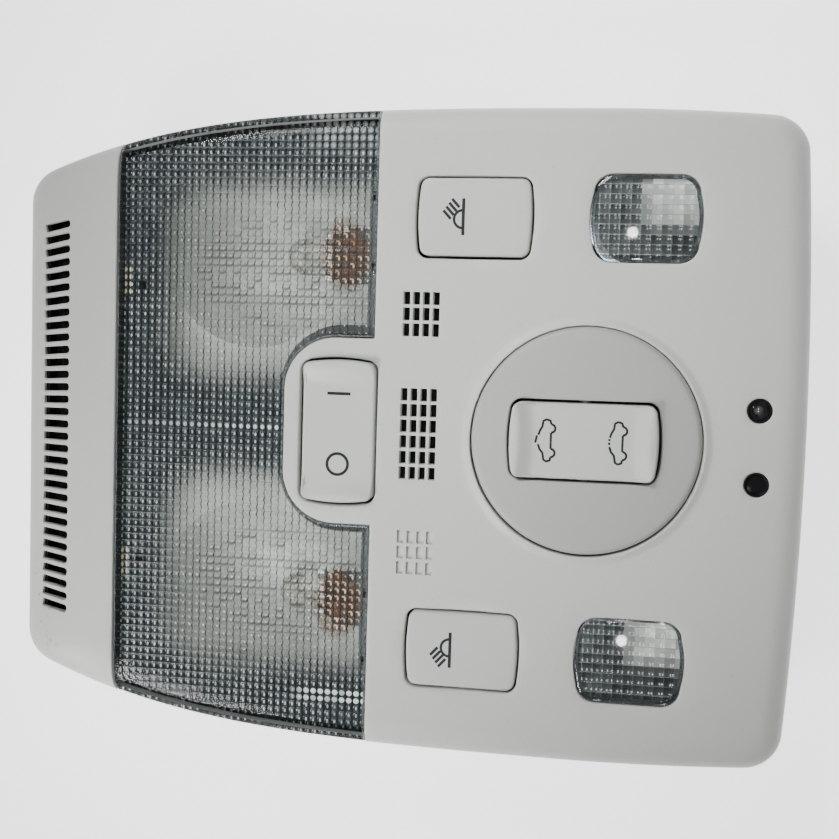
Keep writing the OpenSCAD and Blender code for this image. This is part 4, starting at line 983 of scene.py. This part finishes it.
def rockerTop(t, across, base):
    # flat face that is scooped towards each end and ends in a rounded lip
    t = np.abs(t) + rocker["scoop"] * (1 - (across / (rocker["width"] / 2)) ** 2)
    rise = rocker["lip"] * np.clip((t - 13.2) / 4.0, 0, 1) ** 1.3
    crest = rocker["lip"] * 0.22 * np.clip((t - 17.0) / 2.6, 0, 1) ** 2
    return base + rise - crest


def domeTop(p):
    return rockerTop(p[:, 1], p[:, 0] - places["dome"], panel["face"] + 0.6)


def roofTop(p):
    return rockerTop(p[:, 0] - places["roof"], p[:, 1], panel["face"] + 2.6)


def buttonTop(p):
    x, y = p[:, 0] - places["button"][0], np.abs(p[:, 1]) - places["button"][1]
    return panel["face"] + 0.7 - y ** 2 / 320 - capLook["crown"] * (np.abs(x) / 14.5) ** 4


def discTop(p):
    big = (29 ** 2 + 1.5 ** 2) / 3
    return panel["face"] + 2.4 - big + np.sqrt(big ** 2 - (p[:, 0] - places["disc"]) ** 2 - p[:, 1] ** 2)


def buildCaps():
    r, spacing = capLook["rockerRound"], capLook["spacing"]
    capPiece("domeRockerCap", rockerPlan() + [places["dome"], 0], domeTop, 34.4, "dome_switch",
             "dome_rocker", r, spacing)
    roofPlan = rockerPlan(across=True) + [places["roof"], 0]
    capPiece("roofRockerCap", roofPlan, roofTop, 36.4, "roof_switch", "roof_rocker", r, spacing)
    for s, side in ((1, "upper"), (-1, "lower")):
        plan = barrel(29, 19.65, 2.4, 0.8) + np.multiply(places["button"], [1, s])
        capPiece(side + "ReadingCap", plan, buttonTop, 36.0, side + "_button", "reading_button_" + side,
                 capLook["buttonRound"], spacing, hollow=np.multiply(places["button"], [1, s]))
    disc = arcPoints(places["disc"], 0, 29, 0, 357.5, 144)
    hole = rockerPlan(rocker["gap"], True) + [places["roof"], 0]
    capPiece("roofSwitchDisc", disc, discTop, 39.6, "unit", "roof_switch_disc", capLook["discRound"], 1.3,
             [hole], "disc")


markLook = {"lift": 0.03, "bar": 0.82, "ring": 0.68, "ray": 0.74, "car": 0.58, "onMark": 0.8, "offMark": 0.78}


def resample(path, gap=0.4):
    # short steps, so that a mark follows the crowned cap under it
    path = np.array(path, float)
    out = [path[:1]]
    for a, b in zip(path, path[1:]):
        n = max(1, int(math.ceil(np.hypot(*(b - a)) / gap)))
        out.append(a + (b - a) * (np.arange(1, n + 1) / n)[:, None])
    return np.concatenate(out)


def stroke(path, width, closed=False):
    before = np.roll(path, 1, 0) if closed else np.concatenate([path[:1], path[:-1]])
    after = np.roll(path, -1, 0) if closed else np.concatenate([path[1:], path[-1:]])
    d = after - before
    n = np.stack([-d[:, 1], d[:, 0]], 1) / np.maximum(np.hypot(d[:, 0], d[:, 1]), 1e-9)[:, None] * width / 2
    count = len(path)
    faces = [(count + i, count + (i + 1) % count, (i + 1) % count, i)
             for i in range(count if closed else count - 1)]
    return np.concatenate([path + n, path - n]), faces


def carPath(opened):
    # plain car seen from the side: body, two wheels below the sill, roof panel tilted or shut
    front = [[-4.2, -0.8], [-5.0, -0.7], [-5.3, 0.2], [-4.9, 0.9], [-3.2, 1.2], [-2.2, 2.0], [-1.0, 2.4]]
    rear = [[4.1, -0.8], [5.0, -0.6], [5.3, 0.4], [4.9, 1.2], [3.5, 1.4], [2.4, 2.0], [1.3, 2.35]]
    wheels = [arcPoints(x, -0.8, 1.05, 180, 360, 12) for x in (-3.15, 3.05)]
    shut = [[[-0.5, 2.45], [0.1, 2.48]], [[0.5, 2.48], [1.0, 2.42]]]
    roof = [[[-0.7, 3.1], [1.2, 2.7]]] if opened else shut
    return [front, rear, [[-2.1, -0.8], [2.0, -0.8]]] + wheels + roof


def markPiece(name, strokes, top, body, replaced):
    piece = Solid("mark")
    for path, width, closed in strokes:
        flat, faces = stroke(path if closed else resample(path), width, closed)
        piece.sheet(flat, faces, top(flat) + markLook["lift"])
    return piece.make(name, body, (replaced,), merge=0.0001)


def buildMarks():
    x = places["dome"]
    markPiece("domeMarks", [([[x - 3.1, 9.8], [x + 3.1, 9.8]], markLook["onMark"], False),
                            (arcPoints(x, -8.6, 2.75, 0, 350, 36), markLook["offMark"], True)],
              domeTop, "dome_switch", "dome_rocker_marks")
    cars = []
    for at, opened in ((-8.9, True), (8.9, False)):
        cars += [(turned(np.array(path, float), 90) + [places["roof"] + at, 0.0], markLook["car"], False)
                 for path in carPath(opened)]
    markPiece("roofMarks", cars, roofTop, "roof_switch", "roof_rocker_marks")
    for s, side in ((1, "upper"), (-1, "lower")):
        cx, cy = places["button"][0] - 2.9, s * places["button"][1]
        lamp = [([[cx, cy - 4.65], [cx, cy + 4.65]], markLook["bar"], False),
                (arcPoints(cx - 0.1, cy - s * 0.6, 2.25, 90, 270, 24), markLook["ring"], False)]
        for i in range(4):
            px, py = cx - 1.05 - i * 0.71, cy + s * (2.35 - i * 0.98)
            lamp.append(([[px, py], [px - 1.94, py + s * 2.15]], markLook["ray"], False))
        markPiece(side + "LampMarks", lamp, buttonTop, side + "_button", "button_marks_" + side)


readingLook = {"cellX": 2.6, "cellY": 2.5, "rise": 0.22, "steps": 4, "under": 39.3, "crown": 240, "rim": 0.8,
               "edge": 0.6}


def buildReadingLens(s, side):
    plan = barrel(27.4, 21.6, 4.6, 2.5)
    at = np.multiply(places["spot"], [1, s])
    flat, tris = triangulate([(plan, True)] + [(offsetLoop(plan, f), True) for f in (0.1, 0.3, 0.6)],
                             lambda p: insideLoop(p, plan), 1.6)
    z = panel["face"] + 0.3 - (flat ** 2).sum(1) / readingLook["crown"]
    z -= edgeRound(loopDistance(flat, plan), readingLook["edge"])
    piece = Solid("smoke", "facets", "bead")
    piece.sheet(flat + at, tris, z)
    piece.wall(flat + at, rimEdges(tris), z, readingLook["under"], look=2)
    steps, px, py = readingLook["steps"], readingLook["cellX"], readingLook["cellY"]
    gridX, gridY = np.meshgrid(np.arange(-6 * steps, 6 * steps + 1) * px / steps,
                               np.arange(-5 * steps, 5 * steps + 1) * py / steps, indexing="ij")
    grid = np.stack([gridX.ravel(), gridY.ravel()], 1)
    inner = offsetLoop(plan, readingLook["rim"])
    grid = grid[insideLoop(grid, offsetLoop(plan, readingLook["rim"] + 0.2))]
    under, underTris = triangulate([(plan, True), (inner, True)], lambda p: insideLoop(p, plan), 50,
                                   extra=grid)
    lift = pillow(under[:, 0], under[:, 1], px, py, readingLook["rise"])
    underZ = readingLook["under"] + np.where(loopDistance(under, plan) > readingLook["rim"] - 0.1, lift, 0)
    onRim = ~insideLoop(under[underTris].mean(1), inner)
    piece.sheet(under + at, underTris, underZ, up=False, look=np.where(onRim, 2, 1))
    piece.make(side + "ReadingPane", "unit", ("reading_lens_" + side,), sharp=20, merge=0.001)


stage = {"floor": (0.95, 0.955, 0.95), "glow": 2.0, "world": 0.15,
         "lights": {"sky": ((-0.123, 0.311, 0.371), (0.041, 0.065, 0.04), 40, 0.2, 0.15),
                    "side": ((-0.225, -0.261, 0.31), (-0.038, -0.028, 0.04), 44, 0.2, 0.19),
                    "lampOne": ((0.035, 0.072, 0.64), (0, 0, 0.04), 180, 0.034, 0.22),
                    "lampTwo": ((0.052, -0.138, 0.636), (0, 0, 0.04), 180, 0.034, 0.22)}}


def stageScene():
    floorMesh = bpy.data.meshes.new("paleFloor")
    floorMesh.from_pydata([(-2, -2, 0), (2, -2, 0), (2, 2, 0), (-2, 2, 0)], [], [(0, 1, 2, 3)])
    floor = bpy.data.objects.new("paleFloor", floorMesh)
    bpy.context.scene.collection.objects.link(floor)
    f = Finish("paleFloor")
    colour = f.blend(f.noise(6), shade(stage["floor"], 0.985), stage["floor"])
    floorMesh.materials.append(f.end(f.shader(Base_Color=colour, Roughness=0.8, Emission_Color=(1, 1, 1, 1),
                                              Emission_Strength=stage["glow"])))
    for name, (at, aim, spread, size, power) in stage["lights"].items():
        data = bpy.data.lights.new(name, "AREA")
        data.shape, data.size, data.energy, data.spread = "DISK", size, power, math.radians(spread)
        lamp = bpy.data.objects.new(name, data)
        lamp.location = at
        lamp.rotation_euler = (Vector(aim) - Vector(at)).to_track_quat("-Z", "Y").to_euler()
        bpy.context.scene.collection.objects.link(lamp)
    world = bpy.data.worlds.new("studio")
    bpy.context.scene.world = world
    world.use_nodes = True
    world.node_tree.nodes["Background"].inputs[0].default_value = (1, 1, 1, 1)
    world.node_tree.nodes["Background"].inputs[1].default_value = stage["world"]


photoView = {"focal": 36 * 1200 / 839, "at": (0.05332, 0.02403, 0.34695), "look": (-0.153, -0.0653, -0.9861),
             "up": (-0.039, 0.9974, -0.060)}


def placeCamera():
    data = bpy.data.cameras.new("photoView")
    data.sensor_width, data.lens, data.clip_start = 36, photoView["focal"], 0.01
    camera = bpy.data.objects.new("photoView", data)
    bpy.context.scene.collection.objects.link(camera)
    look = Vector(photoView["look"]).normalized()
    right = look.cross(Vector(photoView["up"])).normalized()
    turn = Matrix((right, right.cross(look).normalized(), -look)).transposed().to_4x4()
    camera.matrix_world = Matrix.Translation(Vector(photoView["at"])) @ turn
    bpy.context.scene.camera = camera


placeCamera()
stageScene()
buildTrim()
buildVentTray()
print("trim and vent tray built")
buildLens()
print("main lens built")
buildCaps()
buildMarks()
print("caps and marks built")
for s, side in ((1, "upper"), (-1, "lower")):
    buildLampBowl(s, side)
    buildReadingLens(s, side)
print("lamp bowls and reading lenses built")
